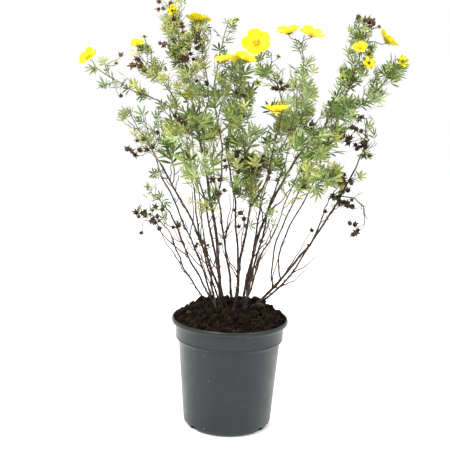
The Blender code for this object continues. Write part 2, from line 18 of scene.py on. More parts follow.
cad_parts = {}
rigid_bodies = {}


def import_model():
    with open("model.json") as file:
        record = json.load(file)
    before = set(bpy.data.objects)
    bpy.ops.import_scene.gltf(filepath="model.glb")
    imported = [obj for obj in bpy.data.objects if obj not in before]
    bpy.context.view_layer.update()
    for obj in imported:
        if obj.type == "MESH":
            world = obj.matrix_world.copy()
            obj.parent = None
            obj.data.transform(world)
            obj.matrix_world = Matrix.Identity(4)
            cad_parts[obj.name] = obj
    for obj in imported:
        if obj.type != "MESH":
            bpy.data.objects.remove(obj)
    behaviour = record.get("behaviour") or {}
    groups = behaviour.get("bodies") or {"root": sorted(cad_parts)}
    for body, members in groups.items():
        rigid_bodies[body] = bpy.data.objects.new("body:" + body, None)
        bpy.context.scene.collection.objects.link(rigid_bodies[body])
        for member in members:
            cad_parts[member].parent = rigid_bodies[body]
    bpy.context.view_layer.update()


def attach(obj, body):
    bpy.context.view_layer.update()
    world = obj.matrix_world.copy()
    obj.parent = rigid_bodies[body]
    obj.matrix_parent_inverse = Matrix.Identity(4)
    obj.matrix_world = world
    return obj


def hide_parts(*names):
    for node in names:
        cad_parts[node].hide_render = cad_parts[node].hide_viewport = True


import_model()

BODY = "root"
CLEARANCE = 0.0003

# Pot and compost, outlines as (radius, height)
POT_SIDES = 144
POT_HEIGHT = 0.180
POT_OUTSIDE = (
    (0.0664, 0.0),
    (0.0706, 0.0036),
    (0.0722, 0.0100),
    (0.08285, 0.1425),
    (0.0882, 0.1462),
    (0.0872, 0.1490),
    (0.0886, 0.1700),
    (0.0945, 0.1722),
    (0.0950, 0.1752),
    (0.0942, 0.1788),
    (0.0930, POT_HEIGHT),
    (0.0916, 0.1790),
)
POT_INSIDE = (
    (0.0655, 0.0016),
    (0.0694, 0.0048),
    (0.0706, 0.0105),
    (0.0812, 0.1420),
    (0.0856, 0.1475),
    (0.0872, 0.1700),
)
RING_FOOT = 0.1440  # the raised ring under the collar; from it up the plastic is a little paler
RING_TOP = 0.1462
NOTCH_BEARINGS = (-60, 60, 180)
NOTCH_OFFSETS = (-10.5, 10.5)
NOTCH_SIDES = 24
NOTCH_WIDTH = 0.018
NOTCH_HEIGHT = 0.0085
NOTCH_DEPTH = 0.012
NOTCH_RADIUS = 0.0705
CROWN_HEIGHT = 0.195
CROWN_RADIUS = 0.055
SOIL_RADIUS = 0.0885
SOIL_PROFILE = ((0.0, CROWN_HEIGHT), (CROWN_RADIUS, CROWN_HEIGHT), (0.068, 0.1885), (0.079, 0.1820))
SOIL_EDGE = (SOIL_RADIUS, 0.1772)
SOIL_UNDERSIDE = 0.162
SOIL_RINGS = 44
SOIL_SPOKES = 176
SOIL_LUMPS = ((0.0042, 75), (0.0028, 190))  # (height, how many to the metre)
SOIL_FADE = 0.012  # how far from the wall the lumps begin to sink away
CLOD_COUNT = 230
CLOD_SIZES = (0.0035, 0.0105)
CLOD_AT_WALL = 0.0035  # the largest clod right at the pot's wall
CRUMB_COUNT = 2600
CRUMB_SIZES = (0.0008, 0.0032)
FIBRE_COUNT = 240
FIBRE_LENGTHS = (0.004, 0.015)
MOSS = ((0.050, -0.006, 0.0075), (0.062, -0.024, 0.005), (-0.044, 0.050, 0.006), (-0.066, -0.022, 0.004))

# Limbs
ROOT_FLARE = 1.45
FLARE_REACH = 0.05
HEADING_PULL = 0.55
WANDER = 0.0016
BARK_STEP = 0.0022  # between the rings of a skinned limb
BARK_SWELL = 1.12  # a stem with its rough bark against the plain solid
KNOT_SPACING = 0.017
KNOT_WIDTH = 0.0017
KNOT_SWELL = 0.26
KNOT_BEND = 0.0009  # how far a limb steps aside at a knot
STEM_SKIN = (14, 0.0011, 900.0)  # sides, how deep its bark's relief is, and how many ridges to the metre
BOUGH_SKIN = (10, 0.0006, 900.0)
TWIG_SIDES = 6
STALK_SIDES = 4
STUB_SIDES = 5
STUB_COUNT = 9  # short side twigs on each stem
STUB_LENGTHS = ((0.004, 0.010), (0.010, 0.032))  # below the leafy height, and above it
STUB_RADIUS = (0.0009, 0.0005)
DEAD_TWIG_COUNT = 2  # long bare ones on each stem
DEAD_TWIG_LENGTH = (0.035, 0.095)
DEAD_TWIG_RADIUS = (0.0011, 0.0005)
DEAD_TWIGS_TO_A_HEAD = 3  # a dry head on every third
OLD_BARK_TOP = 0.36  # above this the bark turns to its young colour
YOUNG_BARK_FOOT = 0.56
FLAKE_SPACING = 0.012
FLAKE_KINDS = 4
FLAKE_LENGTHS = (0.005, 0.014)
FLAKE_LIMB = 0.0016  # a limb thinner than this bears smaller flakes

# Sprays
GOLDEN_ANGLE = math.radians(137.5)
LEADER_RADIUS = (0.0011, 0.0007)
SHOOT_RADIUS = (0.0006, 0.0004)
TWIGLET_RADIUS = (0.0004, 0.0003)
STALK_RADIUS = 0.00055
FLOWER_STALK_RADIUS = 0.0007
HEAD_STALK_RADIUS = 0.0004
CYME_LIFT = (-0.5, 1.3)  # how steeply a head's stalk rises, as its slope
CYME_REACH = (0.8, 1.6)  # its length against the cluster's spread
HEAD_SIZES = (0.7, 1.25)
TWIGLET_SHARE = 0.55  # where a shoot carries its small twig
SHOOT_SPLAY = math.radians(52)
SHOOT_RISE = 0.175
SHOOT_REACH = (1.05, 0.65)
SHOOT_SAG = 0.06
FIRST_SHOOT = 0.16
SHOOT_STRETCH = 0.78
SPACE_MARGIN = 0.0012
LIMB_MARGIN = 0.0012
FINER_SHOOTS = 1.4  # how many more shoots a spray has here than in the solids
LEAF_RISE = 0.15
LEAF_ATTEMPTS = 6
NEXT_TURN = 1.1
ATTEMPT_SHRINK = 0.03
LEAF_REACH = 1.36  # a full leaf's length against the spread of its spray
SHOOT_LEAF = 0.85
LEAF_SPACING = 0.013
FIRST_LEAF = 0.014
TIP_LEAVES = 2
TIP_LEAF_TURN = 2.4  # radians between them
LONGEST_LEAF = 0.046
LEAFY_HEIGHTS = ((0.30, 0.44), (0.35, 1.0))  # how thickly leaves stand from one height to another
LEAF_SIZES = ((0.50, 0.64), (1.06, 0.76))  # how large leaves are from one height to another
OWN_TINT = 0.6  # how many of a spray's twigs bear its own tint
STRAY_TINT = 0.35  # how many leaves have another tint than their twig
TWIG_END = 0.98  # where along a twig its last leaves stand
STUB_LEAF_HEIGHT = 0.30  # stubs above this, in the middle of the plant, may bear leaves
STUB_LEAF_MIDDLE = 0.01  # where across the plant that is
STUB_LEAF_SLOPE = 0.5  # how much higher for each metre to a side
STUB_LEAFINESS = 0.65
STUB_LEAF_LENGTH = (0.014, 0.024)
GREEN, GREY, YOUNG, DEEP = "green", "grey", "young", "deep"
LEAF_TINTS = {  # a leaf's colour, and its edge's, paler partly as the leaf's own margin and partly as painted highlight
    GREEN: ((0.235, 0.330, 0.062), (0.62, 0.66, 0.26)),
    GREY: ((0.325, 0.400, 0.165), (0.70, 0.74, 0.40)),
    YOUNG: ((0.450, 0.480, 0.115), (0.76, 0.75, 0.30)),
    # the deep tint is a darker copy of the leaf green, partly the leaves' own tone and partly painted shade
    DEEP: ((0.066, 0.138, 0.017), (0.25, 0.35, 0.07)),
}


class Limb(NamedTuple):
    """In millimetres. A stem starts from its foot (x, y) on the compost, a bough from (limb, share)."""

    name: str
    start: tuple
    tip: tuple
    bow: tuple
    widths: tuple


class Spray(NamedTuple):
    """In millimetres, with the tint of its leaves and how thickly they stand."""

    name: str
    start: tuple
    tip: tuple
    bow: tuple
    spread: float
    shoots: int
    heads: int
    tint: str = GREEN
    leafiness: float = 1.0


class Bloom(NamedTuple):
    """In millimetres, facing (bearing from the front, elevation) in degrees."""

    spray: str
    place: tuple
    facing: tuple
    width: float


class Cyme(NamedTuple):
    """A cluster of dry seed heads, in millimetres."""

    place: tuple
    count: int
    spread: float


STEMS = (
    Limb("stem_outer_left", (-40, 26), (-101, 42, 303), (-6, 4, -2), (2.4, 2.0)),
    Limb("stem_low_left", (-26, 10), (-97, -36, 350), (-4, 3, 1), (2.8, 2.0)),
    Limb("stem_long_left", (-8, 6), (-116, -30, 430), (8, -4, 0), (3.6, 2.2)),
    Limb("stem_inner_left", (-17, 26), (-64, 22, 385), (-9, 6, 0), (2.8, 2.0)),
    Limb("stem_tall", (-15, -10), (-66, -6, 506), (8, -11, 0), (5.0, 2.7)),
    Limb("stem_mid_left", (3, 20), (-30, 42, 385), (3, -2, 0), (3.6, 2.2)),
    Limb("stem_mid_back", (11, 37), (-12, 94, 430), (8, -6, 0), (3.4, 2.2)),
    Limb("stem_mid_front", (7, -14), (26, -53, 375), (-2, 4, 0), (4.8, 2.4)),
    Limb("stem_mid_right", (19, 6), (46, 37, 362), (0, -4, 0), (3.6, 2.2)),
    Limb("stem_right_tall", (25, -12), (118, -6, 470), (-21, -2, 14), (4.2, 2.8)),
    Limb("stem_right_long", (37, 6), (190, 2, 425), (6, 20, -22), (4.0, 2.2)),
    Limb("stem_right_low", (46, 22), (150, 52, 345), (10, 4, -14), (3.0, 2.0)),
    Limb("stem_back_left", (-12, 41), (-70, 112, 425), (4, -6, 0), (3.2, 2.0)),
    Limb("stem_back_far_left", (-29, 37), (-122, 82, 395), (6, -4, 2), (2.8, 2.0)),
    Limb("stem_back_right", (28, 34), (88, 112, 425), (-6, -8, 4), (3.2, 2.0)),
    Limb("stem_front_left", (-22, -28), (-45, -90, 335), (0, 10, 0), (3.0, 2.0)),
    Limb("stem_front_right", (20, -34), (64, -94, 345), (-4, 10, 0), (3.0, 2.0)),
)
BOUGHS = (
    Limb("bough_left", ("stem_tall", 0.89), (-106, 0, 516), (-3, 0, 2), (2.2, 2.0)),
    Limb("bough_centre", ("stem_mid_left", 0.95), (-33, 14, 510), (5, 5, 0), (2.2, 2.0)),
    Limb("bough_front", ("stem_mid_front", 0.97), (66, -56, 505), (4, -4, 2), (2.2, 2.0)),
    Limb("bough_right_top", ("stem_right_tall", 1.0), (148, -3, 514), (2, 0, -3), (2.8, 2.3)),
    Limb("bough_right_front", ("stem_right_long", 0.2), (100, -32, 392), (-9, -12, 4), (2.4, 2.0)),
    Limb("bough_right_back", ("stem_right_long", 0.27), (134, 64, 400), (-4, -2, 2), (2.4, 2.0)),
)
SPRAYS = (
    Spray("spray_spire", ("stem_tall", 1.0), (-106, 0, 668), (4, 0, 0), 29, 7, 5, YOUNG, 1.7),
    Spray("spray_left_flower", ("bough_left", 1.0), (-218, 8, 570), (0, 0, -7), 28, 4, 0, GREY, 0.5),
    Spray("spray_left_upper", ("bough_left", 0.72), (-154, 12, 592), (4, 4, 2), 28, 4, 3, YOUNG, 1.2),
    Spray("spray_long_left", ("stem_long_left", 1.0), (-170, -14, 512), (0, 0, -2), 27, 4, 2, GREY, 0.32),
    Spray("spray_low_left", ("stem_low_left", 1.0), (-126, -48, 384), (-2, 0, 4), 24, 4, 3, GREEN, 0.45),
    Spray("spray_seeds_left", ("stem_outer_left", 1.0), (-146, 40, 340), (0, 0, 6), 26, 5, 5, GREEN, 0.2),
    Spray("spray_inner_left", ("stem_inner_left", 1.0), (-108, 32, 512), (-4, 6, 0), 34, 5, 1, GREY, 0.8),
    Spray("spray_left_front", ("stem_long_left", 0.86), (-94, -66, 478), (-4, -6, 0), 34, 5, 1, GREEN, 0.6),
    Spray("spray_tall_front", ("stem_tall", 0.667), (-58, -60, 530), (0, -8, -4), 36, 5, 0, GREEN, 0.8),
    Spray("spray_top_left", ("stem_tall", 0.97), (-66, 18, 640), (8, 4, -4), 28, 5, 2, YOUNG, 1.7),
    Spray("spray_centre", ("stem_mid_left", 1.0), (-24, 50, 525), (-6, 4, 0), 38, 5, 1, GREEN, 0.5),
    Spray("spray_top_centre", ("bough_centre", 1.0), (-18, 6, 646), (-6, 2, 0), 27, 4, 1, GREEN, 0.9),
    Spray("spray_centre_upper", ("bough_centre", 0.78), (6, -26, 570), (2, -4, -6), 32, 5, 1, GREY, 1.0),
    Spray("spray_big_flower", ("bough_front", 1.0), (38, -62, 586), (8, 0, 4), 28, 4, 1, GREEN, 0.95),
    Spray("spray_front_right", ("bough_front", 0.66), (86, -92, 552), (8, -10, -4), 32, 5, 2, GREY, 0.5),
    Spray("spray_right_spire", ("stem_right_tall", 0.94), (96, 2, 618), (10, 6, 2), 28, 5, 0, GREEN, 0.65),
    Spray("spray_right_top", ("bough_right_top", 1.0), (190, -4, 650), (13, 2, -6), 30, 6, 3, GREEN, 1.5),
    Spray("spray_right_far", ("bough_right_top", 0.93), (244, -6, 590), (4, 0, -8), 29, 6, 0, GREEN, 1.5),
    Spray("spray_right_mid", ("stem_right_tall", 0.84), (160, -46, 520), (0, -6, -8), 36, 5, 1, DEEP, 1.1),
    Spray("spray_right_back", ("bough_right_back", 1.0), (174, 64, 518), (-4, 6, 0), 38, 5, 1, GREEN, 1.0),
    Spray("spray_right_front", ("bough_right_front", 1.0), (138, -58, 424), (0, -4, 0), 34, 4, 1, GREEN, 1.6),
    Spray("spray_far_right", ("stem_right_long", 1.0), (204, -2, 508), (4, 0, 0), 28, 5, 4, GREEN, 0.2),
    Spray("spray_seeds_right", ("stem_right_long", 0.86), (208, -16, 346), (10, -4, 12), 24, 4, 4, GREEN, 0),
    Spray("spray_right_under", ("stem_right_low", 1.0), (168, 44, 388), (-3, 2, 0), 26, 3, 0, YOUNG, 0.6),
    Spray("spray_centre_right", ("stem_mid_right", 1.0), (66, 30, 500), (4, 6, 0), 38, 5, 2, GREEN, 0.85),
    Spray("spray_centre_low", ("stem_right_tall", 0.52), (14, -18, 414), (-2, -6, 0), 32, 5, 2, GREEN, 1.4),
    Spray("spray_front", ("stem_mid_front", 1.0), (4, -94, 506), (0, -4, -2), 36, 6, 1, GREEN, 1.0),
    Spray("spray_front_low_left", ("stem_front_left", 1.0), (-70, -146, 468), (4, -6, 0), 36, 5, 2, GREEN, 0.65),
    Spray("spray_front_low_right", ("stem_front_right", 1.0), (106, -148, 478), (-4, -6, 0), 36, 5, 2, GREEN, 0.9),
    Spray("spray_back_left", ("stem_back_left", 1.0), (-90, 142, 536), (4, 4, 0), 38, 5, 1, GREEN),
    Spray("spray_back_far_left", ("stem_back_far_left", 1.0), (-156, 94, 492), (2, 4, 0), 34, 5, 2, GREY, 0.35),
    Spray("spray_back", ("stem_mid_back", 1.0), (-4, 120, 566), (4, 8, 0), 40, 6, 1, GREEN, 0.8),
    Spray("spray_back_right", ("stem_back_right", 1.0), (112, 146, 540), (-4, 4, 0), 40, 5, 2, GREEN),
)
BLOOMS = (
    Bloom("spray_left_flower", (-234, 10, 588), (-40, 40), 36),
    Bloom("spray_left_upper", (-157, 6, 610), (-20, 60), 26),
    Bloom("spray_top_left", (-64, 18, 648), (150, 72), 46),
    Bloom("spray_centre_upper", (-22, -36, 588), (-50, 72), 34),
    Bloom("spray_centre_upper", (12, -34, 590), (40, 66), 42),
    Bloom("spray_big_flower", (26, -70, 614), (-8, 30), 46),
    Bloom("spray_right_spire", (76, -2, 634), (-30, 76), 43),
    Bloom("spray_right_spire", (112, 2, 632), (30, 70), 43),
    Bloom("spray_front_right", (60, -78, 517), (-10, 74), 38),
    Bloom("spray_right_top", (184, -24, 614), (-15, 40), 25),
    Bloom("spray_right_far", (230, 10, 626), (95, 48), 42),
    Bloom("spray_back", (4, 136, 592), (170, 55), 42),
    Bloom("spray_back_right", (81, 160, 512), (170, 40), 34),
    Bloom("spray_back_left", (-80, 160, 530), (190, 50), 34),
)
FADED = (  # flowers whose petals have shrunk, round a dark heart
    Bloom("spray_right_top", (198, -26, 592), (10, 20), 27),
    Bloom("spray_right_far", (252, -12, 596), (15, 25), 27),
    Bloom("spray_spire", (-104, -6, 662), (10, 25), 25),
)
STARS = (  # open calyxes whose petals have dropped
    Bloom("spray_left_flower", (-224, 6, 570), (-30, 10), 20),
    Bloom("spray_left_upper", (-147, 8, 622), (0, 75), 18),
    Bloom("spray_left_upper", (-142, 2, 606), (30, 40), 17),
    Bloom("spray_centre_upper", (30, -28, 557), (10, 30), 17),
    Bloom("spray_right_top", (200, -14, 606), (10, 30), 22),
    Bloom("spray_right_front", (142, -68, 414), (20, 30), 24),
    Bloom("spray_top_centre", (-12, 4, 650), (-20, 55), 16),
    Bloom("spray_top_centre", (-4, 8, 652), (20, 60), 16),
    Bloom("spray_right_mid", (156, -50, 568), (10, 40), 16),
    Bloom("spray_big_flower", (58, -62, 596), (30, 50), 14),
    Bloom("spray_left_flower", (-190, 4, 580), (-20, 50), 14),
    Bloom("spray_right_under", (172, 36, 400), (20, 40), 24),
)
CYMES = (
    Cyme((-116, -2, 668), 5, 9),
    Cyme((-96, -4, 645), 4, 8),
    Cyme((-112, -4, 618), 4, 9),
    Cyme((-86, 2, 602), 4, 8),
    Cyme((-98, -4, 632), 3, 7),
    Cyme((-78, 4, 586), 3, 8),
    Cyme((-72, 14, 628), 4, 7),
    Cyme((-70, 14, 611), 4, 8),
    Cyme((-57, 4, 554), 3, 7),
    Cyme((-91, -8, 499), 3, 6),
    Cyme((-160, 10, 586), 4, 8),
    Cyme((-156, 8, 574), 3, 7),
    Cyme((-184, 8, 593), 1, 5),
    Cyme((-182, 4, 530), 1, 5),
    Cyme((-150, -23, 464), 2, 5),
    Cyme((-159, -25, 445), 4, 8),
    Cyme((-155, 38, 342), 4, 8),
    Cyme((-142, 36, 338), 4, 8),
    Cyme((-130, 36, 334), 4, 8),
    Cyme((-120, -42, 362), 3, 9),
    Cyme((-150, 38, 306), 1, 4),
    Cyme((-47, -20, 306), 3, 7),
    Cyme((6, -22, 357), 2, 6),
    Cyme((14, -16, 329), 2, 6),
    Cyme((64, -60, 552), 5, 10),
    Cyme((4, -20, 537), 2, 6),
    Cyme((106, -72, 496), 3, 8),
    Cyme((8, -84, 448), 5, 10),
    Cyme((26, -84, 444), 7, 13),
    Cyme((38, -80, 432), 6, 12),
    Cyme((18, -80, 430), 5, 10),
    Cyme((-12, -78, 436), 4, 8),
    Cyme((14, -82, 440), 6, 9),
    Cyme((32, -80, 440), 5, 9),
    Cyme((-30, -84, 386), 2, 6),
    Cyme((190, -8, 656), 5, 9),
    Cyme((204, -8, 648), 4, 8),
    Cyme((188, -4, 508), 3, 7),
    Cyme((190, -2, 494), 3, 7),
    Cyme((176, -4, 475), 4, 7),
    Cyme((194, -2, 472), 4, 7),
    Cyme((202, -2, 458), 5, 7),
    Cyme((162, -50, 476), 4, 9),
    Cyme((165, -6, 414), 6, 7),
    Cyme((176, -4, 412), 6, 7),
    Cyme((175, 2, 388), 3, 6),
    Cyme((160, 2, 381), 3, 6),
    Cyme((181, -2, 374), 8, 8),
    Cyme((191, -10, 340), 2, 4),
    Cyme((195, -12, 328), 3, 4),
    Cyme((168, 44, 375), 3, 6),
    Cyme((152, 48, 350), 1, 5),
)


def unit(vector):
    return vector / np.linalg.norm(vector)


def metres(millimetres):
    return np.array(millimetres, float) / 1000


def stray(name, share):
    """A limb's small wandering off its smooth curve, nothing at its two ends."""
    rng = random.Random(name)
    off = np.zeros(3)
    for axis in range(3):
        for waves in (1.5, 3.2):
            off[axis] += math.sin(math.tau * (waves * share + rng.random())) / waves
    return off * WANDER * 4 * share * (1 - share)


class Course:
    """A limb's or twig's middle line, from its foot at 0 to its tip at 1."""

    def __init__(self, name, foot, tip, bow, radii, heading=None, flare=1.0):
        self.name, self.radii, self.flare, self.heading = name, radii, flare, heading
        foot, tip, bow = (np.array(v, float) for v in (foot, tip, bow))
        chord = tip - foot
        self.length = float(np.linalg.norm(chord))
        leave = foot + chord / 3 + bow * 4 / 3
        if heading is not None:
            setting_out = chord / self.length * (1 - HEADING_PULL) + heading * HEADING_PULL
            leave = foot + setting_out * self.length / 3 + bow
        self.bends = (foot, leave, foot + chord * 2 / 3 + bow * 4 / 3, tip)

    def at(self, share):
        a, b, c, d = self.bends
        rest = 1 - share
        curve = a * rest**3 + 3 * b * rest**2 * share + 3 * c * rest * share**2 + d * share**3
        return curve + stray(self.name, share)

    def along(self, share):
        step = 0.02
        return unit(self.at(min(share + step, 1.0)) - self.at(max(share - step, 0.0)))

    def radius(self, share):
        low, high = self.radii
        plain = low + (high - low) * share
        return plain * (1 + (self.flare - 1) * max(0.0, 1 - share / FLARE_REACH) ** 2)


def side_start(course, share, towards):
    """Where a branch leaves a limb: just clear of its side, square to it and heading for its tip."""
    if share >= 1.0:
        heading = course.along(1.0)
        return course.at(1.0) + heading * CLEARANCE, heading
    middle, axis = course.at(share), course.along(share)
    out = towards - middle
    heading = unit(out - axis * out.dot(axis))
    return middle + heading * (course.radius(share) + CLEARANCE), heading


def limb_courses():
    courses = {}
    for limb in STEMS:
        foot = (*metres(limb.start), CROWN_HEIGHT + CLEARANCE)
        sizes = metres(limb.tip), metres(limb.bow), metres(limb.widths) / 2
        courses[limb.name] = Course(limb.name, foot, *sizes, flare=ROOT_FLARE)
    for limb in BOUGHS:
        parent, share = limb.start
        sizes = metres(limb.tip), metres(limb.bow), metres(limb.widths) / 2
        foot, heading = side_start(courses[parent], share, sizes[0])
        courses[limb.name] = Course(limb.name, foot, *sizes, heading=heading)
    return courses


def leader_courses(limbs):
    leaders = {}
    for spray in SPRAYS:
        limb, share = spray.start
        tip, bow = metres(spray.tip), metres(spray.bow)
        foot, heading = side_start(limbs[limb], share, tip)
        leaders[spray.name] = Course(spray.name, foot, tip, bow, LEADER_RADIUS, heading=heading)
    return leaders


def frame_of(axis):
    """Two directions square to an axis."""
    guide = np.array((0.0, 0.0, 1.0)) if abs(axis[2]) < 0.9 else np.array((1.0, 0.0, 0.0))
    across = unit(np.cross(guide, axis))
    return across, np.cross(axis, across)


def spoke(axis, turn):
    """The direction square to an axis at that turn round it."""
    across, upward = frame_of(axis)
    return across * math.cos(turn) + upward * math.sin(turn)


def angles_of(across, along, up):
    """The turn, as XYZ angles, that brings X, Y and Z to three directions."""
    return tuple(Matrix([*zip(across, along, up)]).to_euler())


def shoot_courses(spray, leader, count):
    """Side shoots by the golden angle, longest low on the leader, each turning up."""
    for index in range(count):
        rng = random.Random(f"{spray.name} shoot {index}")
        share = FIRST_SHOOT + SHOOT_STRETCH * ((index % spray.shoots) + 0.5) / spray.shoots
        if index >= spray.shoots:
            share = FIRST_SHOOT + SHOOT_STRETCH * rng.random()
        axis = leader.along(share)
        side = spoke(axis, index * GOLDEN_ANGLE + rng.uniform(-0.4, 0.4))
        splay = SHOOT_SPLAY * rng.uniform(0.8, 1.15)
        heading = axis * math.cos(splay) + side * math.sin(splay)
        low, high = SHOOT_REACH
        length = metres(spray.spread) * (low + (high - low) * share) * rng.uniform(0.85, 1.1)
        foot = leader.at(share)
        tip = foot + heading * length + np.array((0, 0, SHOOT_RISE * length))
        bow = np.array((0, 0, -SHOOT_SAG * length))
        yield Course(f"{spray.name} {index}", foot, tip, bow, SHOOT_RADIUS)


def distance_to_segments(points, heads, tails):
    """The distance from each point to each segment, as a table."""
    run = tails - heads
    share = np.einsum("pij,ij->pi", points[:, None] - heads[None], run) / (run * run).sum(1)
    nearest = heads[None] + np.clip(share, 0, 1)[..., None] * run[None]
    return np.linalg.norm(points[:, None] - nearest, axis=2)


class Spaces:
    """Where every limb runs, and which space belongs to which spray."""

    def __init__(self, limbs, leaders):
        self.heads, self.tails, self.thick = self.segments(limbs.values(), 16)
        self.lead_heads, self.lead_tails, _ = self.segments(leaders.values(), 6)
        self.names = list(leaders)
        self.spreads = np.array([metres(spray.spread) for spray in SPRAYS])

    @staticmethod
    def segments(courses, count):
        heads, tails, thick = [], [], []
        for course in courses:
            spots = [course.at(i / count) for i in range(count + 1)]
            heads += spots[:-1]
            tails += spots[1:]
            thick += [course.radius(i / count) for i in range(count)]
        return np.array(heads), np.array(tails), np.array(thick)

    def depths(self, points):
        """Each point's distance from every leader, as a share of that spray's spread."""
        gaps = distance_to_segments(points, self.lead_heads, self.lead_tails)
        return gaps.reshape(len(points), len(self.names), -1).min(2) / self.spreads

    def clear_of_limbs(self, points):
        gaps = distance_to_segments(points, self.heads, self.tails) - self.thick[None]
        return gaps.min() > LIMB_MARGIN

    def fits(self, name, points):
        """True if all the points lie in this spray's space and off every limb."""
        index = self.names.index(name)
        depths = self.depths(points)
        mine = depths[:, index]
        if mine.max() > 1.0:
            return False
        others = np.delete(depths, index, axis=1)
        margin = SPACE_MARGIN / self.spreads[index]
        return (others - mine[:, None]).min() > margin and self.clear_of_limbs(points)


class Shape:
    """A mesh in the making: corners, faces, and each corner's place (across, along) on its pattern."""

    def __init__(self):
        self.corners, self.faces, self.marks = [], [], []

    def add_rows(self, rows, tip=None, closed=False):
        """Quads from each row of points to the next, and triangles from the last row to a tip."""
        start, wide = len(self.corners), len(rows[0])
        for up, row in enumerate(rows):
            self.corners += [tuple(point) for point in row]
            self.marks += [(i / (wide - 1), up / len(rows)) for i in range(wide)]
        for low in range(start, start + wide * (len(rows) - 1), wide):
            for i in range(wide if closed else wide - 1):
                after = (i + 1) % wide
                self.faces.append((low + i, low + after, low + after + wide, low + i + wide))
        if tip is not None:
            last = start + wide * (len(rows) - 1)
            self.corners.append(tuple(tip))
            self.marks.append((0.5, 1.0))
            for i in range(wide if closed else wide - 1):
                self.faces.append((last + i, last + (i + 1) % wide, len(self.corners) - 1))

    def add(self, other, matrix):
        """Another shape's corners, moved by a 4 x 4 matrix."""
        start = len(self.corners)
        self.corners += [tuple(matrix @ Vector(corner)) for corner in other.corners]
        self.marks += other.marks
        self.faces += [tuple(start + i for i in face) for face in other.faces]

    def mesh(self, name):
        mesh = bpy.data.meshes.new(name)
        mesh.from_pydata(self.corners, [], self.faces)
        marks = np.array(self.marks)
        layer = mesh.uv_layers.new(name="pattern")
        corner_of = np.zeros(len(mesh.loops), int)
        mesh.loops.foreach_get("vertex_index", corner_of)
        layer.data.foreach_set("uv", marks[corner_of].ravel())
        return mesh


class Stand(NamedTuple):
    """Where a repeated shape stands."""

    place: tuple
    turn: tuple
    size: float
    kind: int = 0


def add_object(name, mesh, finish=None, smooth=True):
    if finish:
        mesh.materials.append(finish)
    if smooth:
        mesh.shade_smooth()
    obj = bpy.data.objects.new(name, mesh)
    bpy.context.scene.collection.objects.link(obj)
    return obj


def mesh_of(work, name):
    mesh = bpy.data.meshes.new(name)
    work.to_mesh(mesh)
    work.free()
    return mesh


def put(tree, kind, sockets=None, **settings):
    """A node in a tree, with its settings, and its sockets set to a value or linked to an output."""
    made = tree.nodes.new(kind)
    for name, value in settings.items():
        setattr(made, name, value)
    for name, value in (sockets or {}).items():
        if isinstance(value, bpy.types.NodeSocket):
            tree.links.new(value, made.inputs[name])
        else:
            made.inputs[name].default_value = value
    return made


def sums(tree, operation, first, second, **settings):
    """The output of a Math node in a tree."""
    return put(tree, "ShaderNodeMath", {0: first, 1: second}, operation=operation, **settings).outputs[0]


def new_tree(name, kind, inputs, outputs):
    """A node group with named inputs (name, kind, value) and outputs (name, kind)."""
    tree = bpy.data.node_groups.new(name, kind)
    for label, socket_kind, value in inputs:
        socket = tree.interface.new_socket(label, in_out="INPUT", socket_type="NodeSocket" + socket_kind)
        if value is not None:
            socket.default_value = value
    for label, socket_kind in outputs:
        tree.interface.new_socket(label, in_out="OUTPUT", socket_type="NodeSocket" + socket_kind)
    return tree, put(tree, "NodeGroupInput").outputs, put(tree, "NodeGroupOutput").inputs


def skin_tree():
    """Geometry Nodes: skins middle lines as round limbs, and pushes their bark in and out."""
    inputs = (
        ("Lines", "Geometry", None),
        ("Sides", "Int", 8),
        ("Relief", "Float", 0.0),
        ("Relief scale", "Float", 300.0),
        ("Finish", "Material", None),
    )
    tree, given, result = new_tree("limb skin", "GeometryNodeTree", inputs, [("Skin", "Geometry")])
    lines = put(tree, "GeometryNodeMeshToCurve", {"Mesh": given["Lines"]})
    ring = put(tree, "GeometryNodeCurvePrimitiveCircle", {"Resolution": given["Sides"], "Radius": 1.0})
    thick = put(tree, "GeometryNodeInputNamedAttribute", {"Name": "thick"}, data_type="FLOAT")
    skin = put(
        tree,
        "GeometryNodeCurveToMesh",
        {
            "Curve": lines.outputs["Curve"],
            "Profile Curve": ring.outputs["Curve"],
            "Scale": thick.outputs["Attribute"],
            "Fill Caps": True,
        },
    )
    place = put(tree, "GeometryNodeInputPosition")
    long = put(
        tree, "ShaderNodeVectorMath", {0: place.outputs[0], 1: (1.0, 1.0, 0.2)}, operation="MULTIPLY"
    )
    rough = put(
        tree,
        "ShaderNodeTexNoise",
        {"Vector": long.outputs[0], "Scale": given["Relief scale"], "Detail": 3.0},
    )
    height = sums(tree, "MULTIPLY", sums(tree, "SUBTRACT", rough.outputs[0], 0.5), given["Relief"])
    normal = put(tree, "GeometryNodeInputNormal")
    push = put(
        tree,
        "ShaderNodeVectorMath",
        {0: normal.outputs[0], "Scale": height},
        operation="SCALE",
    )
    moved = put(tree, "GeometryNodeSetPosition", {0: skin.outputs["Mesh"], "Offset": push.outputs[0]})
    smooth = put(tree, "GeometryNodeSetShadeSmooth", {0: moved.outputs[0]})
    real = put(tree, "GeometryNodeRealizeInstances", {0: smooth.outputs[0]})
    dressed = put(tree, "GeometryNodeSetMaterial", {0: real.outputs[0], "Material": given["Finish"]})
    tree.links.new(dressed.outputs[0], result["Skin"])
    return tree


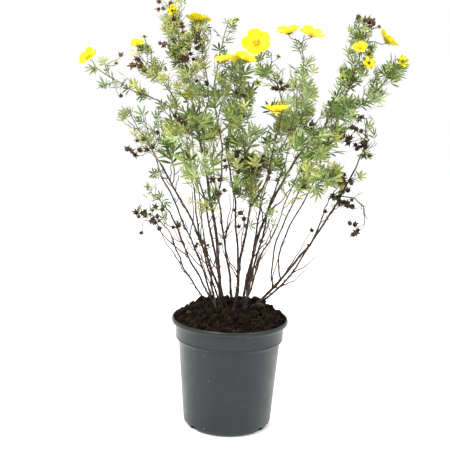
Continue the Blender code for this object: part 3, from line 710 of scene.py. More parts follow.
def scatter_tree():
    """Geometry Nodes: stands a shape on every spot, by the spot's own turn, size and kind."""
    inputs = (
        ("Spots", "Geometry", None),
        ("Shapes", "Collection", None),
        ("Scale", "Float", 1.0),
        ("Wobble", "Float", 0.0),
        ("Seed", "Int", 0),
        ("Finish", "Material", None),
    )
    tree, given, result = new_tree("scatter", "GeometryNodeTree", inputs, [("Pieces", "Geometry")])
    shapes = put(
        tree,
        "GeometryNodeCollectionInfo",
        {"Collection": given["Shapes"], "Separate Children": True, "Reset Children": True},
    )
    turn = put(tree, "GeometryNodeInputNamedAttribute", {"Name": "turn"}, data_type="FLOAT_VECTOR")
    size = put(tree, "GeometryNodeInputNamedAttribute", {"Name": "size"}, data_type="FLOAT")
    kind = put(tree, "GeometryNodeInputNamedAttribute", {"Name": "kind"}, data_type="INT")
    chance = put(
        tree,
        "FunctionNodeRandomValue",
        {0: (-1.0, -1.0, -1.0), 1: (1.0, 1.0, 1.0), "Seed": given["Seed"]},
        data_type="FLOAT_VECTOR",
    )
    wobble = put(
        tree,
        "ShaderNodeVectorMath",
        {0: chance.outputs[0], "Scale": given["Wobble"]},
        operation="SCALE",
    )
    steady = put(tree, "FunctionNodeEulerToRotation", {0: turn.outputs["Attribute"]})
    loose = put(tree, "FunctionNodeEulerToRotation", {0: wobble.outputs[0]})
    facing = put(
        tree,
        "FunctionNodeRotateRotation",
        {0: steady.outputs[0], 1: loose.outputs[0]},
        rotation_space="LOCAL",
    )
    pieces = put(
        tree,
        "GeometryNodeInstanceOnPoints",
        {
            "Points": given["Spots"],
            "Instance": shapes.outputs[0],
            "Pick Instance": True,
            "Instance Index": kind.outputs["Attribute"],
            "Rotation": facing.outputs[0],
            "Scale": sums(tree, "MULTIPLY", size.outputs["Attribute"], given["Scale"]),
        },
    )
    real = put(tree, "GeometryNodeRealizeInstances", {0: pieces.outputs[0]})
    dressed = put(tree, "GeometryNodeSetMaterial", {0: real.outputs[0], "Material": given["Finish"]})
    tree.links.new(dressed.outputs[0], result["Pieces"])
    return tree


def grown(obj, tree, finish, values):
    """Runs a tree on an object and keeps the result as its plain mesh."""
    modifier = obj.modifiers.new(tree.name, "NODES")
    modifier.node_group = tree
    for item in tree.interface.items_tree:
        if item.in_out == "INPUT" and item.name in values:
            modifier[item.identifier] = values[item.name]
        if item.in_out == "INPUT" and item.name == "Finish":
            modifier[item.identifier] = finish
    bpy.context.view_layer.update()
    graph = bpy.context.evaluated_depsgraph_get()
    result = bpy.data.meshes.new_from_object(obj.evaluated_get(graph))
    obj.modifiers.clear()
    result.materials.clear()
    result.materials.append(finish)
    for name in ("turn", "size", "kind", "thick"):
        if name in result.attributes:
            result.attributes.remove(result.attributes[name])
    result.name = obj.name
    obj.data = result
    return obj


def skinned(name, lines, tree, finish, sides, relief=0.0, relief_scale=300.0):
    """Middle lines, each (points, radii), skinned into one piece."""
    points, edges, thick = [], [], []
    for spots, radii in lines:
        start = len(points)
        points += [tuple(spot) for spot in spots]
        thick += [float(radius) for radius in radii]
        edges += [(i, i + 1) for i in range(start, len(points) - 1)]
    mesh = bpy.data.meshes.new(name)
    mesh.from_pydata(points, edges, [])
    mesh.attributes.new("thick", "FLOAT", "POINT").data.foreach_set("value", thick)
    obj = add_object(name, mesh, smooth=False)
    values = {"Sides": sides, "Relief": relief, "Relief scale": relief_scale}
    return grown(obj, tree, finish, values)


def scattered(name, stands, shapes, tree, finish, wobble=0.0, seed=1):
    """One piece of many copies of a few shapes."""
    group = bpy.data.collections.new(name + " shapes")
    bpy.context.scene.collection.children.link(group)
    for index, shape in enumerate(shapes):
        group.objects.link(bpy.data.objects.new(f"{name} shape {index:02}", shape))
    mesh = bpy.data.meshes.new(name)
    mesh.from_pydata([tuple(stand.place) for stand in stands], [], [])
    turns = np.array([stand.turn for stand in stands], float)
    mesh.attributes.new("turn", "FLOAT_VECTOR", "POINT").data.foreach_set("vector", turns.ravel())
    sizes = [float(stand.size) for stand in stands]
    mesh.attributes.new("size", "FLOAT", "POINT").data.foreach_set("value", sizes)
    kinds = [stand.kind for stand in stands]
    mesh.attributes.new("kind", "INT", "POINT").data.foreach_set("value", kinds)
    obj = add_object(name, mesh, smooth=False)
    values = {"Shapes": group, "Wobble": wobble, "Seed": seed}
    grown(obj, tree, finish, values)
    for shape in list(group.objects):
        bpy.data.objects.remove(shape)
    bpy.data.collections.remove(group)
    return obj


def facing_of(bearing, elevation):
    flat = math.cos(math.radians(elevation))
    turn = math.radians(bearing)
    return np.array((math.sin(turn) * flat, -math.cos(turn) * flat, math.sin(math.radians(elevation))))


def turn_to(axis, spin=0.0):
    """The turn, as XYZ angles, that brings +Z to an axis after a spin about it."""
    across, upward = frame_of(axis)
    matrix = Matrix([*zip(across, upward, axis)]) @ Matrix.Rotation(spin, 3, "Z")
    return tuple(matrix.to_euler())


LEAFLET_OUTLINE = ((0.0, 0.12), (0.24, 0.74), (0.54, 1.0), (0.82, 0.64))
LEAFLET_FOLD = 0.35
LEAF_KINDS = (  # leaflets as (share of the leaf's stalk, turn in degrees, length, width)
    ((0.42, 0, 0.58, 0.124), (0.40, 40, 0.54, 0.115), (0.34, 74, 0.42, 0.105)),
    ((0.42, 0, 0.58, 0.108), (0.40, 33, 0.55, 0.104), (0.28, 60, 0.47, 0.096)),
    ((0.38, 0, 0.62, 0.116), (0.36, 47, 0.55, 0.110)),
    ((0.44, 0, 0.56, 0.132), (0.42, 38, 0.50, 0.124), (0.36, 66, 0.44, 0.106)),
)
LEAF_ODDS = (0, 0, 1, 1, 2, 3)  # which kinds stand, and how often
LEAF_DROOPS = (0.10, 0.26, 0.06, 0.16)
PETIOLE_RADII = (0.014, 0.009)


def add_leaflet(shape, foot, turn, length, width, droop):
    """A lance-shaped leaflet in the XY plane, folded up along its midrib and drooping to its tip."""
    along = Vector((math.sin(turn), math.cos(turn), 0.0))
    across = Vector((math.cos(turn), -math.sin(turn), 0.0))
    rows = []
    for share, reach in LEAFLET_OUTLINE:
        half = reach * width / 2
        middle = foot + along * share * length - Vector((0, 0, droop * length * share**2))
        row = [middle + across * side * half for side in (-1, 0, 1)]
        row[0].z += half * LEAFLET_FOLD
        row[2].z += half * LEAFLET_FOLD
        rows.append(row)
    shape.add_rows(rows, tip=foot + along * length - Vector((0, 0, droop * length)))


def leaf_shapes():
    """Compound leaves one unit long from the twig to the tip, along +Y, their upper side to +Z."""
    shapes = []
    for leaflets, droop in zip(LEAF_KINDS, LEAF_DROOPS):
        shape = Shape()
        end = leaflets[0][0]
        rows = []
        for share in (0.0, 0.5, 1.0):
            radius = PETIOLE_RADII[0] + (PETIOLE_RADII[1] - PETIOLE_RADII[0]) * share
            middle = Vector((0, end * share, 0.05 * math.sin(share * math.pi)))
            spokes = [Vector((math.cos(a), 0, -math.sin(a))) * radius for a in (0.0, 2.1, 4.2)]
            rows.append([middle + spoke for spoke in spokes])
        shape.add_rows(rows, closed=True)
        for share, degrees, length, width in leaflets:
            for side in (-1, 1) if degrees else (1,):
                turn = math.radians(degrees) * side
                add_leaflet(shape, Vector((0, share, 0)), turn, length, width, droop)
        shapes.append(shape.mesh("leaf"))
    return shapes


def leaf_outline():
    """Points that stand for a leaf where it is tested, as (across, along) for one unit of length."""
    spots = [(0.0, 0.5)]
    for share, degrees, length, _ in LEAF_KINDS[0]:
        for side in (-1, 1) if degrees else (1,):
            turn = math.radians(degrees) * side
            for reach in (0.5, 1.0):
                spots.append((math.sin(turn) * length * reach, share + math.cos(turn) * length * reach))
    return np.array(spots)


class Growth:
    """All that grows on the limbs: middle lines, and what stands on them."""

    def __init__(self, limbs, leaders):
        self.limbs, self.leaders = limbs, leaders
        self.spaces = Spaces(limbs, leaders)
        self.outline = leaf_outline()
        self.twigs = {name: [] for name in leaders}
        self.stalks = []
        self.leaves = {tint: [] for tint in LEAF_TINTS}
        self.heads = []
        self.stars = []

    def grow_twigs(self, spray):
        """The leader, the source's shoots, finer shoots between them, and twiglets on those."""
        leader = self.leaders[spray.name]
        limb, share = spray.start
        if share >= 1.0:
            leader.radii = (self.limbs[limb].radius(1.0), LEADER_RADIUS[1])
        kept = [leader]
        count = round(spray.shoots * FINER_SHOOTS * max(1.0, spray.leafiness))
        for shoot in shoot_courses(spray, leader, count):
            if self.spaces.fits(spray.name, self.points_along(shoot)):
                kept.append(shoot)
        for shoot in kept[1:]:
            twiglet = self.twiglet(shoot)
            if self.spaces.fits(spray.name, self.points_along(twiglet)):
                kept.append(twiglet)
        self.twigs[spray.name] = kept

    @staticmethod
    def points_along(course):
        return np.array([course.at(share) for share in (0.25, 0.5, 0.75, 1.0)])

    @staticmethod
    def twiglet(shoot):
        """The small twig that every shoot carries past its middle."""
        name = f"{shoot.name} twiglet 0"
        rng = random.Random(name)
        axis = shoot.along(TWIGLET_SHARE)
        side = spoke(axis, rng.uniform(-0.5, 0.5))
        heading = unit(axis * 0.8 + side * 0.6 + np.array((0, 0, 0.2)))
        foot = shoot.at(TWIGLET_SHARE)
        tip = foot + heading * shoot.length * rng.uniform(0.35, 0.55)
        return Course(name, foot, tip, (0, 0, 0), TWIGLET_RADIUS)

    def grow_leaves(self, spray):
        """Leaves along every twig by the golden angle, with a tuft at its tip."""
        rng = random.Random(f"{spray.name} leaves")
        leader = self.twigs[spray.name][0]
        full = min(metres(spray.spread) * LEAF_REACH, LONGEST_LEAF)
        for twig in self.twigs[spray.name]:
            on_leader = twig is leader
            tint = spray.tint if rng.random() < OWN_TINT else rng.choice(list(LEAF_TINTS))
            spacing = LEAF_SPACING / max(1.0, spray.leafiness)
            size = full if on_leader else full * SHOOT_LEAF
            turn = rng.uniform(0, math.tau)
            reach = FIRST_LEAF if on_leader else spacing
            while reach < twig.length * 0.95:
                turn += GOLDEN_ANGLE
                share = reach / twig.length
                reach += spacing * rng.uniform(0.7, 1.3)
                if rng.random() < spray.leafiness * float(np.interp(twig.at(share)[2], *LEAFY_HEIGHTS)):
                    self.add_leaf(spray, twig, share, turn, size * rng.uniform(0.75, 1.05), tint, rng)
            for index in range(TIP_LEAVES):
                if rng.random() < spray.leafiness:
                    length = size * rng.uniform(0.6, 0.85)
                    self.add_leaf(spray, twig, TWIG_END, turn + index * TIP_LEAF_TURN, length, tint, rng)

    def add_leaf(self, spray, twig, share, turn, length, tint, rng):
        """A leaf where it fits. One that would leave the spray's space is turned or left out."""
        length *= float(np.interp(twig.at(share)[2], *LEAF_SIZES))
        splay = rng.uniform(0.45, 0.75) if share > 0.9 else rng.uniform(0.75, 1.15)
        for attempt in range(LEAF_ATTEMPTS):
            size = length * (1.0 - ATTEMPT_SHRINK * attempt)
            root, outward, upper = self.leaf_on(twig, share, turn + attempt * NEXT_TURN, splay)
            across = np.cross(outward, upper)
            points = root + (across * self.outline[:, :1] + outward * self.outline[:, 1:]) * size
            if self.spaces.fits(spray.name, points):
                if rng.random() < STRAY_TINT:
                    tint = rng.choice(list(LEAF_TINTS))
                pose = angles_of(across, outward, upper)
                self.leaves[tint].append(Stand(root, pose, size, rng.choice(LEAF_ODDS)))
                return

    def grow_stub_leaves(self, stubs):
        """A few small leaves at the tips of the higher stubs on the bare stems."""
        for stub in stubs:
            rng = random.Random(f"{stub.name} leaves")
            foot = stub.bends[0]
            lowest = STUB_LEAF_HEIGHT + abs(foot[0] - STUB_LEAF_MIDDLE) * STUB_LEAF_SLOPE
            if foot[2] < lowest or rng.random() > STUB_LEAFINESS:
                continue
            for index in range(rng.randrange(1, 4)):
                turn = index * GOLDEN_ANGLE + rng.uniform(-0.4, 0.4)
                root, outward, upper = self.leaf_on(stub, TWIG_END, turn, rng.uniform(0.4, 0.9))
                tint = rng.choice((GREEN, YOUNG, DEEP))
                size = rng.uniform(*STUB_LEAF_LENGTH)
                pose = angles_of(np.cross(outward, upper), outward, upper)
                self.leaves[tint].append(Stand(root, pose, size, rng.choice(LEAF_ODDS)))

    @staticmethod
    def leaf_on(course, share, turn, splay):
        axis = course.along(share)
        side = spoke(axis, turn)
        outward = unit(axis * math.cos(splay) + side * math.sin(splay) + np.array((0, 0, LEAF_RISE)))
        upper = unit(axis - outward * axis.dot(outward) + np.array((0.01, 0.02, 0.03)))
        return course.at(share), outward, unit(upper - outward * upper.dot(outward))

    def carrier(self, place):
        """The nearest spot on any twig or limb that a stalk can rise from, and the way it runs."""
        best = None
        courses = list(self.limbs.values())
        for twigs in self.twigs.values():
            courses += twigs
        for course in courses:
            if min(np.linalg.norm(bend - place) for bend in course.bends) > course.length + 0.05:
                continue
            for share in np.linspace(0.1, 1.0, 12):
                spot = course.at(share)
                gap = np.linalg.norm(place - spot) + max(0.0, spot[2] - place[2]) * 0.8
                if best is None or gap < best[0]:
                    best = (gap, spot, course.along(share))
        return best[1], best[2]

    def add_stalk(self, name, place, facing, radius=STALK_RADIUS, root=None):
        """A thin curved stalk from the nearest twig to a place, arriving along its facing."""
        foot, heading = self.carrier(place) if root is None else root
        reach = np.linalg.norm(place - foot)
        bends = (foot, foot + heading * reach * 0.35, place - facing * reach * 0.35, place)
        stalk = Course(name, foot, place, (0, 0, 0), (radius, radius * 0.8))
        stalk.bends = bends
        self.stalks.append(stalk)
        return stalk

    def add_cyme(self, name, place, count, spread):
        """A stalk that forks to a handful of dry heads."""
        rng = random.Random(name)
        base = place - np.array((0, 0, spread * 0.5))
        up = np.array((0.0, 0.0, 1.0))
        if count == 1:
            self.add_stalk(name, place, up)
            self.add_head(place, up, rng)
            return
        stalk = self.add_stalk(name, base, up)
        for index in range(count):
            turn = index * GOLDEN_ANGLE + rng.uniform(-0.4, 0.4)
            lift = rng.uniform(*CYME_LIFT)
            side = np.array((math.cos(turn), math.sin(turn), 0.0))
            heading = unit(side + up * lift)
            tip = base + heading * spread * rng.uniform(*CYME_REACH)
            self.add_stalk(f"{name} {index}", tip, heading, HEAD_STALK_RADIUS, (stalk.at(0.96), up))
            self.add_head(tip, heading, rng)

    def add_head(self, place, axis, rng):
        size = rng.uniform(*HEAD_SIZES)
        self.heads.append(Stand(place, turn_to(axis, rng.uniform(0, 6)), size, rng.randrange(HEAD_KINDS)))

    def grow_heads(self, spray):
        """On the back, right back and low front sprays only: a small cluster of dry heads at the tips of the first
        shoots, as many as the source has.
        """
        if spray.name.startswith(("spray_back", "spray_right_back", "spray_front_low")):
            for index, shoot in enumerate(self.twigs[spray.name][1 : spray.heads + 1]):
                self.add_cyme(f"{shoot.name} cyme", shoot.at(1.0) + np.array((0, 0, 0.003)), 3, 0.008)


ROUND_PETALS = 5
SHRUNKEN_PETALS = 3
SHRUNKEN_WIDTH = 0.68
FADED_PETALS = 0.78  # their length against the open calyx
PETAL_ROWS = 7
PETAL_COLUMNS = 7
PETAL_CUP = 0.16
CLAW_WIDTH = 0.07
PETAL_WIDTH = 0.45  # half a petal's width, and the radius of its round end
PETAL_ARC = 1.3
CALYX_KINDS = 3
SEPAL_TURN = 0.63  # from a sepal to the bract beside it
HEAD_RADIUS = 0.0060
HEAD_KINDS = 5
RUSTY_HEIGHT = 0.57  # seed heads above this are redder and lighter, those below darker
HEART_KINDS = 2
HEART_RADIUS = 0.15
STAMEN_COUNT = 20


def petal_half(share):
    """Half a petal's width at a share of its length: narrow at the claw, then broad."""
    return CLAW_WIDTH + (PETAL_WIDTH - CLAW_WIDTH) * math.sin(math.pi / 2 * min(1.0, share / 0.78))


def petal_shapes():
    """Round petals one unit long along +Y, cupped to +Z and a little ruffled, then shrunken ones."""
    shapes = []
    for kind in range(ROUND_PETALS + SHRUNKEN_PETALS):
        narrow = 1.0 if kind < ROUND_PETALS else SHRUNKEN_WIDTH
        rng = random.Random(f"petal {kind}")
        phase, ruffle, dent = rng.uniform(0, 6), rng.uniform(0.02, 0.06), rng.uniform(0.0, 0.06)
        shape = Shape()
        rows = []
        for up in range(PETAL_ROWS + 1):
            share = up / PETAL_ROWS
            row = []
            for step in range(PETAL_COLUMNS + 1):
                across = 2 * step / PETAL_COLUMNS - 1
                lift = PETAL_CUP * share**2 + 0.06 * across**2 * share
                lift += ruffle * math.sin(4 * across + phase) * share**2
                arc = across * PETAL_ARC
                drop = PETAL_WIDTH * (1 - math.cos(arc)) * share**2
                drop += dent * math.exp(-((across * 4) ** 2)) * share**6
                side = math.sin(arc) / math.sin(PETAL_ARC) * petal_half(share) * narrow
                row.append((side, 0.06 + 0.94 * share - drop, lift))
            rows.append(row)
        shape.add_rows(rows)
        shapes.append(shape.mesh("petal"))
    return shapes


def dome_rows(radius, height, rings, sides, rough, rng):
    rows = []
    for ring in range(rings):
        lift = ring / rings * math.pi / 2
        row = []
        for side in range(sides):
            angle = math.tau * side / sides
            reach = radius * math.cos(lift) * rng.uniform(1 - rough, 1 + rough)
            row.append((math.cos(angle) * reach, math.sin(angle) * reach, height * math.sin(lift)))
        rows.append(row)
    return rows


def heart_shapes():
    """The heart of a flower one unit in radius: a low dome in a ring of stamens."""
    shapes = []
    for kind in range(HEART_KINDS):
        rng = random.Random(f"heart {kind}")
        shape = Shape()
        dome = dome_rows(HEART_RADIUS, HEART_RADIUS * 0.8, 3, 9, 0.1, rng)
        shape.add_rows(dome, tip=(0, 0, HEART_RADIUS * 0.8), closed=True)
        for index in range(STAMEN_COUNT):
            turn = Matrix.Rotation(index * GOLDEN_ANGLE + rng.uniform(-0.2, 0.2), 4, "Z")
            lean = Matrix.Rotation(-rng.uniform(0.5, 1.15), 4, "Y")
            reach = rng.uniform(0.16, 0.24)
            spike = Shape()
            foot = [(0.012 * math.cos(a), 0.012 * math.sin(a), 0.0) for a in (0, 2.1, 4.2)]
            neck = [(x * 0.6, y * 0.6, reach * 0.8) for x, y, _ in foot]
            head = [(x * 3.2, y * 3.2, reach * 0.9) for x, y, _ in foot]
            spike.add_rows([foot, neck, head], tip=(0, 0, reach * 1.06), closed=True)
            shape.add(spike, turn @ Matrix.Translation((-HEART_RADIUS * 0.55, 0, 0.02)) @ lean)
        shapes.append(shape.mesh("heart"))
    return shapes


def add_sepal(shape, turn, length, width, lift, curl):
    """A pointed sepal out from the axis, rising by lift and curling up at its tip."""
    rows = []
    for share, reach in ((0.0, 0.7), (0.35, 1.0), (0.72, 0.6)):
        height = lift * share + curl * share**2
        out = length * share
        row = [(out, side * width / 2 * reach, height + abs(side) * 0.05) for side in (1, 0, -1)]
        rows.append(row)
    petal = Shape()
    petal.add_rows(rows, tip=(length * 0.98, 0, lift + curl))
    petal.faces = [tuple(reversed(face)) for face in petal.faces]
    shape.add(petal, Matrix.Rotation(turn, 4, "Z"))


def calyx_shapes():
    """Five sepals with five narrow bracts between them, one unit in radius, on a small cup."""
    shapes = []
    for kind in range(CALYX_KINDS):
        rng = random.Random(f"calyx {kind}")
        shape = Shape()
        cup = [(0.06, -0.26), (0.20, -0.14), (0.24, 0.0)]
        rows = []
        for radius, height in cup:
            angles = [math.tau * side / 7 for side in range(7)]
            rows.append([(radius * math.cos(a), radius * math.sin(a), height) for a in angles])
        shape.add_rows(rows, closed=True)
        for index in range(5):
            turn = math.tau * index / 5
            add_sepal(shape, turn, rng.uniform(0.85, 1.0), 0.46, rng.uniform(0.0, 0.14), 0.1)
            add_sepal(shape, turn + SEPAL_TURN, rng.uniform(0.6, 0.85), 0.18, rng.uniform(-0.16, 0.0), 0.0)
        shapes.append(shape.mesh("calyx"))
    return shapes


def head_shapes():
    """Dry seed heads one unit in radius: a lumpy ball in curled brown sepals."""
    shapes = []
    for kind in range(HEAD_KINDS):
        rng = random.Random(f"dry head {kind}")
        shape = Shape()
        lower = [(x, y, -z * 0.8 - 0.02) for row in dome_rows(0.62, 0.6, 2, 6, 0.2, rng) for x, y, z in row]
        rows = [lower[6:], lower[:6], *dome_rows(0.62, 0.7, 2, 6, 0.2, rng)[1:]]
        shape.add_rows(rows, tip=(0, 0, 0.66), closed=True)
        for index in range(5):
            turn = math.tau * index / 5 + rng.uniform(-0.2, 0.2)
            add_sepal(shape, turn, rng.uniform(0.9, 1.35), 0.5, rng.uniform(0.0, 0.5), rng.uniform(0.1, 0.8))
            if index % 2:
                add_sepal(shape, turn + 0.6, rng.uniform(0.8, 1.2), 0.22, rng.uniform(-0.5, 0.1), 0.0)
        shapes.append(shape.mesh("dry head"))
    return shapes


def strip_shapes():
    """Flakes of peeling bark one unit long along +Y, lifting to +Z at their ends."""
    shapes = []
    for kind in range(FLAKE_KINDS):
        rng = random.Random(f"bark flake {kind}")
        lift, lean = rng.uniform(0.03, 0.14), rng.uniform(-0.4, 0.4)
        rows = []
        for step in range(5):
            share = step / 4
            width = 0.075 * math.sin(math.pi * (0.12 + 0.8 * share)) * rng.uniform(0.8, 1.2)
            height = 0.008 + lift * abs(2 * share - 1 - lean) ** 3
            sway = 0.03 * math.sin(5 * share + kind)
            rows.append([(sway + side * width, share, height + abs(side) * 0.012) for side in (-1, 0, 1)])
        shape = Shape()
        shape.add_rows(rows)
        shapes.append(shape.mesh("bark flake"))
    return shapes


def lump_shapes(name, count, subdivisions, rough):
    """Clods and crumbs about one unit in radius."""
    shapes = []
    for kind in range(count):
        rng = random.Random(f"{name} {kind}")
        work = bmesh.new()
        bmesh.ops.create_icosphere(work, subdivisions=subdivisions, radius=1.0)
        offset = Vector((rng.uniform(-9, 9), rng.uniform(-9, 9), rng.uniform(-9, 9)))
        stretch = Vector((1.0, rng.uniform(0.6, 1.0), rng.uniform(0.5, 0.9)))
        for vert in work.verts:
            vert.co *= 1 + rough * noise.noise(vert.co * 1.4 + offset) + rough * rng.uniform(-0.3, 0.3)
            vert.co = vert.co * stretch
        shapes.append(mesh_of(work, name))
    return shapes


def fibre_shapes():
    """Root hairs and shreds of bark one unit long along +Y, bent and three-sided."""
    shapes = []
    for kind, (bend, radius) in enumerate(((0.1, 0.02), (0.35, 0.03), (-0.25, 0.045), (0.6, 0.02))):
        rows = []
        for step in range(6):
            share = step / 5
            middle = Vector((bend * math.sin(share * 3), share - 0.5, 0.1 * math.sin(share * 4 + kind)))
            spokes = [Vector((math.cos(a), 0, -math.sin(a))) * radius for a in (0.0, 2.1, 4.2)]
            rows.append([middle + spoke * math.sin(0.3 + share * 2.5) for spoke in spokes])
        shape = Shape()
        shape.add_rows(rows, tip=rows[-1][0] + Vector((0, 0.03, 0)), closed=True)
        shapes.append(shape.mesh("fibre"))
    return shapes


def flower_stands():
    """Where the petals, hearts and calyxes of the open flowers stand."""
    petals, hearts, calyxes = [], [], []
    for index, bloom in enumerate(BLOOMS + FADED):
        rng = random.Random(f"bloom {index}")
        shrunken = bloom in FADED
        facing = facing_of(*bloom.facing)
        place = metres(bloom.place)
        radius = metres(bloom.width) / 2
        spin = rng.uniform(0, math.tau)
        for petal in range(5):
            angle = spin + math.tau * petal / 5 + rng.uniform(-0.06, 0.06)
            tilt = rng.uniform(0.0, 0.3)
            outward = unit(spoke(facing, angle) * math.cos(tilt) + facing * math.sin(tilt))
            upper = unit(facing - outward * facing.dot(outward))
            size = radius * rng.uniform(0.95, 1.06) * (FADED_PETALS if shrunken else 1.0)
            kind = ROUND_PETALS + rng.randrange(SHRUNKEN_PETALS) if shrunken else rng.randrange(ROUND_PETALS)
            petals.append(Stand(place, angles_of(np.cross(outward, upper), outward, upper), size, kind))
        if not shrunken:
            middle = place + facing * radius * 0.05
            hearts.append(Stand(middle, turn_to(facing, spin), radius, index % HEART_KINDS))
        under = place - facing * radius * 0.04
        reach = radius if shrunken else max(0.0075, radius * 0.5)
        calyxes.append(Stand(under, turn_to(facing, spin + SEPAL_TURN), reach, index % CALYX_KINDS))
    return petals, hearts, calyxes


def rounded(outline, reach):
    """An outline with each inner corner cut off by up to that reach."""
    points = [Vector(point) for point in outline]
    made = [points[0]]
    for before, corner, after in zip(points, points[1:], points[2:]):
        for other in (before, after):
            side = other - corner
            made.append(corner + side.normalized() * min(reach, side.length * 0.3))
    return [*made, points[-1]]


def turned(profile, sides):
    """A closed solid turned about Z from a profile that starts and ends on the axis."""
    work = bmesh.new()
    points = [work.verts.new((0, -radius, height)) for radius, height in profile]
    edges = [work.edges.new(pair) for pair in zip(points, points[1:])]
    bmesh.ops.spin(work, geom=points + edges, axis=(0, 0, 1), angle=math.tau, steps=sides)
    bmesh.ops.remove_doubles(work, verts=work.verts, dist=1e-6)
    bmesh.ops.recalc_face_normals(work, faces=work.faces)
    return work


def notch_cutter(bearing):
    """An arched drainage notch through the pot's bottom edge, at that bearing from the front."""
    work = bmesh.new()
    turn = Matrix.Rotation(bearing, 4, "Z")
    place = Matrix.Translation((0, -NOTCH_RADIUS, 0)) @ Matrix.Rotation(math.pi / 2, 4, "X")
    half = NOTCH_WIDTH / 2
    bmesh.ops.create_cone(
        work,
        cap_ends=True,
        segments=NOTCH_SIDES,
        radius1=half,
        radius2=half,
        depth=NOTCH_DEPTH,
        matrix=turn @ Matrix.Diagonal((1, 1, NOTCH_HEIGHT / half, 1)) @ place,
    )
    return mesh_of(work, "notch")


def make_pot(finish):
    """The pot's shell with its rolled rim, its ring and its six drainage notches."""
    bend = [(0.0, 0.0), *POT_OUTSIDE, *reversed(POT_INSIDE), (0.0, POT_INSIDE[0][1])]
    profile = rounded(rounded(bend, 0.0012), 0.0004)
    pot = add_object("pot_shell", mesh_of(turned(profile, POT_SIDES), "pot_shell"), finish)
    group = bpy.data.collections.new("notches")
    bpy.context.scene.collection.children.link(group)
    for bearing in NOTCH_BEARINGS:
        for offset in NOTCH_OFFSETS:
            cutter = notch_cutter(math.radians(bearing + offset))
            group.objects.link(bpy.data.objects.new("notch", cutter))
    modifier = pot.modifiers.new("notches", "BOOLEAN")
    modifier.operation = "DIFFERENCE"
    modifier.operand_type = "COLLECTION"
    modifier.collection = group
    bpy.context.view_layer.update()
    graph = bpy.context.evaluated_depsgraph_get()
    result = bpy.data.meshes.new_from_object(pot.evaluated_get(graph))
    result.materials.clear()
    result.materials.append(finish)
    pot.modifiers.clear()
    pot.data = result
    result.shade_smooth()
    result.set_sharp_from_angle(angle=math.radians(40))
    for cutter in list(group.objects):
        bpy.data.objects.remove(cutter)
    bpy.data.collections.remove(group)
    return pot


def soil_height(x, y):
    """The compost's lumpy surface, flat at the crown and sloping to the pot's wall."""
    radius = math.hypot(x, y)
    radii, heights = zip(*SOIL_PROFILE, SOIL_EDGE)
    level = float(np.interp(radius, radii, heights))
    spot = Vector((x, y, 0.0))
    lumps = sum(height * noise.noise(spot * scale) for height, scale in SOIL_LUMPS)
    return level + lumps * min(1.0, (SOIL_RADIUS - radius) / SOIL_FADE)


def make_soil(finish):
    """The compost's surface, with a skirt inside the pot and a flat underside."""
    rows = []
    for ring in range(1, SOIL_RINGS + 1):
        radius = SOIL_RADIUS * ring / SOIL_RINGS
        row = []
        for spoke in range(SOIL_SPOKES):
            angle = -math.tau * spoke / SOIL_SPOKES
            x, y = radius * math.cos(angle), radius * math.sin(angle)
            row.append((x, y, soil_height(x, y)))
        rows.append(row)
    skirt = [(x * 0.972, y * 0.972, SOIL_UNDERSIDE) for x, y, _ in rows[-1]]
    shape = Shape()
    shape.add_rows([*rows, skirt], tip=(0, 0, SOIL_UNDERSIDE), closed=True)
    top = len(shape.corners)
    shape.corners.append((0, 0, soil_height(0, 0)))
    shape.marks.append((0, 0))
    for spoke in range(SOIL_SPOKES):
        shape.faces.append(((spoke + 1) % SOIL_SPOKES, spoke, top))
    return add_object("compost_surface", shape.mesh("compost_surface"), finish)


def soil_stands(name, count, sizes, sink, kinds):
    """Spots all over the compost, with any turn, for clods, crumbs or fibres."""
    rng = random.Random(name)
    stands = []
    for _ in range(count):
        radius = (SOIL_RADIUS - 0.0015) * math.sqrt(rng.random())
        angle = rng.uniform(0, math.tau)
        x, y = radius * math.cos(angle), radius * math.sin(angle)
        size = sizes[0] + (sizes[1] - sizes[0]) * rng.random() ** 2.2
        size = min(size, CLOD_AT_WALL + (SOIL_RADIUS - radius) * 0.5)
        place = (x, y, soil_height(x, y) + size * sink)
        turn = (rng.uniform(-0.5, 0.5), rng.uniform(-0.5, 0.5), rng.uniform(0, math.tau))
        stands.append(Stand(place, turn, size, rng.randrange(kinds)))
    return stands


def limb_line(course, root):
    """A limb's middle line, with knots where old leaves stood, and a slight turn at each."""
    rng = random.Random(f"{course.name} knots")
    knots, bends = [0.0], [np.zeros(3)]
    while knots[-1] < course.length:
        knots.append(knots[-1] + KNOT_SPACING * rng.uniform(0.7, 1.4))
        bends.append(np.array([rng.uniform(-1, 1) for _ in range(3)]) * KNOT_BEND)
    bends[-1] = bends[-2] = np.zeros(3)
    count = round(course.length / BARK_STEP)
    spots, radii = [], []
    for share in np.linspace(0, 1, count + 1):
        reach = share * course.length
        near = min(abs(reach - knot) for knot in knots[1:])
        bend = np.array([np.interp(reach, knots, [b[axis] for b in bends]) for axis in range(3)])
        spots.append(course.at(share) + bend)
        swell = BARK_SWELL + KNOT_SWELL * math.exp(-((near / KNOT_WIDTH) ** 2))
        radii.append(course.radius(share) * swell)
    return [root, *spots], [radii[0], *radii]


def twig_line(course, step, root=None):
    count = max(4, round(course.length / step))
    shares = np.linspace(0, 1, count + 1)
    spots = [course.at(share) for share in shares]
    radii = [course.radius(share) for share in shares]
    if root is None:
        return spots, radii
    return [root, *spots], [radii[0], *radii]


def root_of(course):
    """A spot inside the limb that a branch leaves, or inside the compost under a stem."""
    if course.heading is None:
        return course.at(0.0) - np.array((0.0, 0.0, 0.006))
    return course.at(0.0) - course.heading * 0.002


def limb_lines(table, limbs):
    return [limb_line(limbs[limb.name], root_of(limbs[limb.name])) for limb in table]


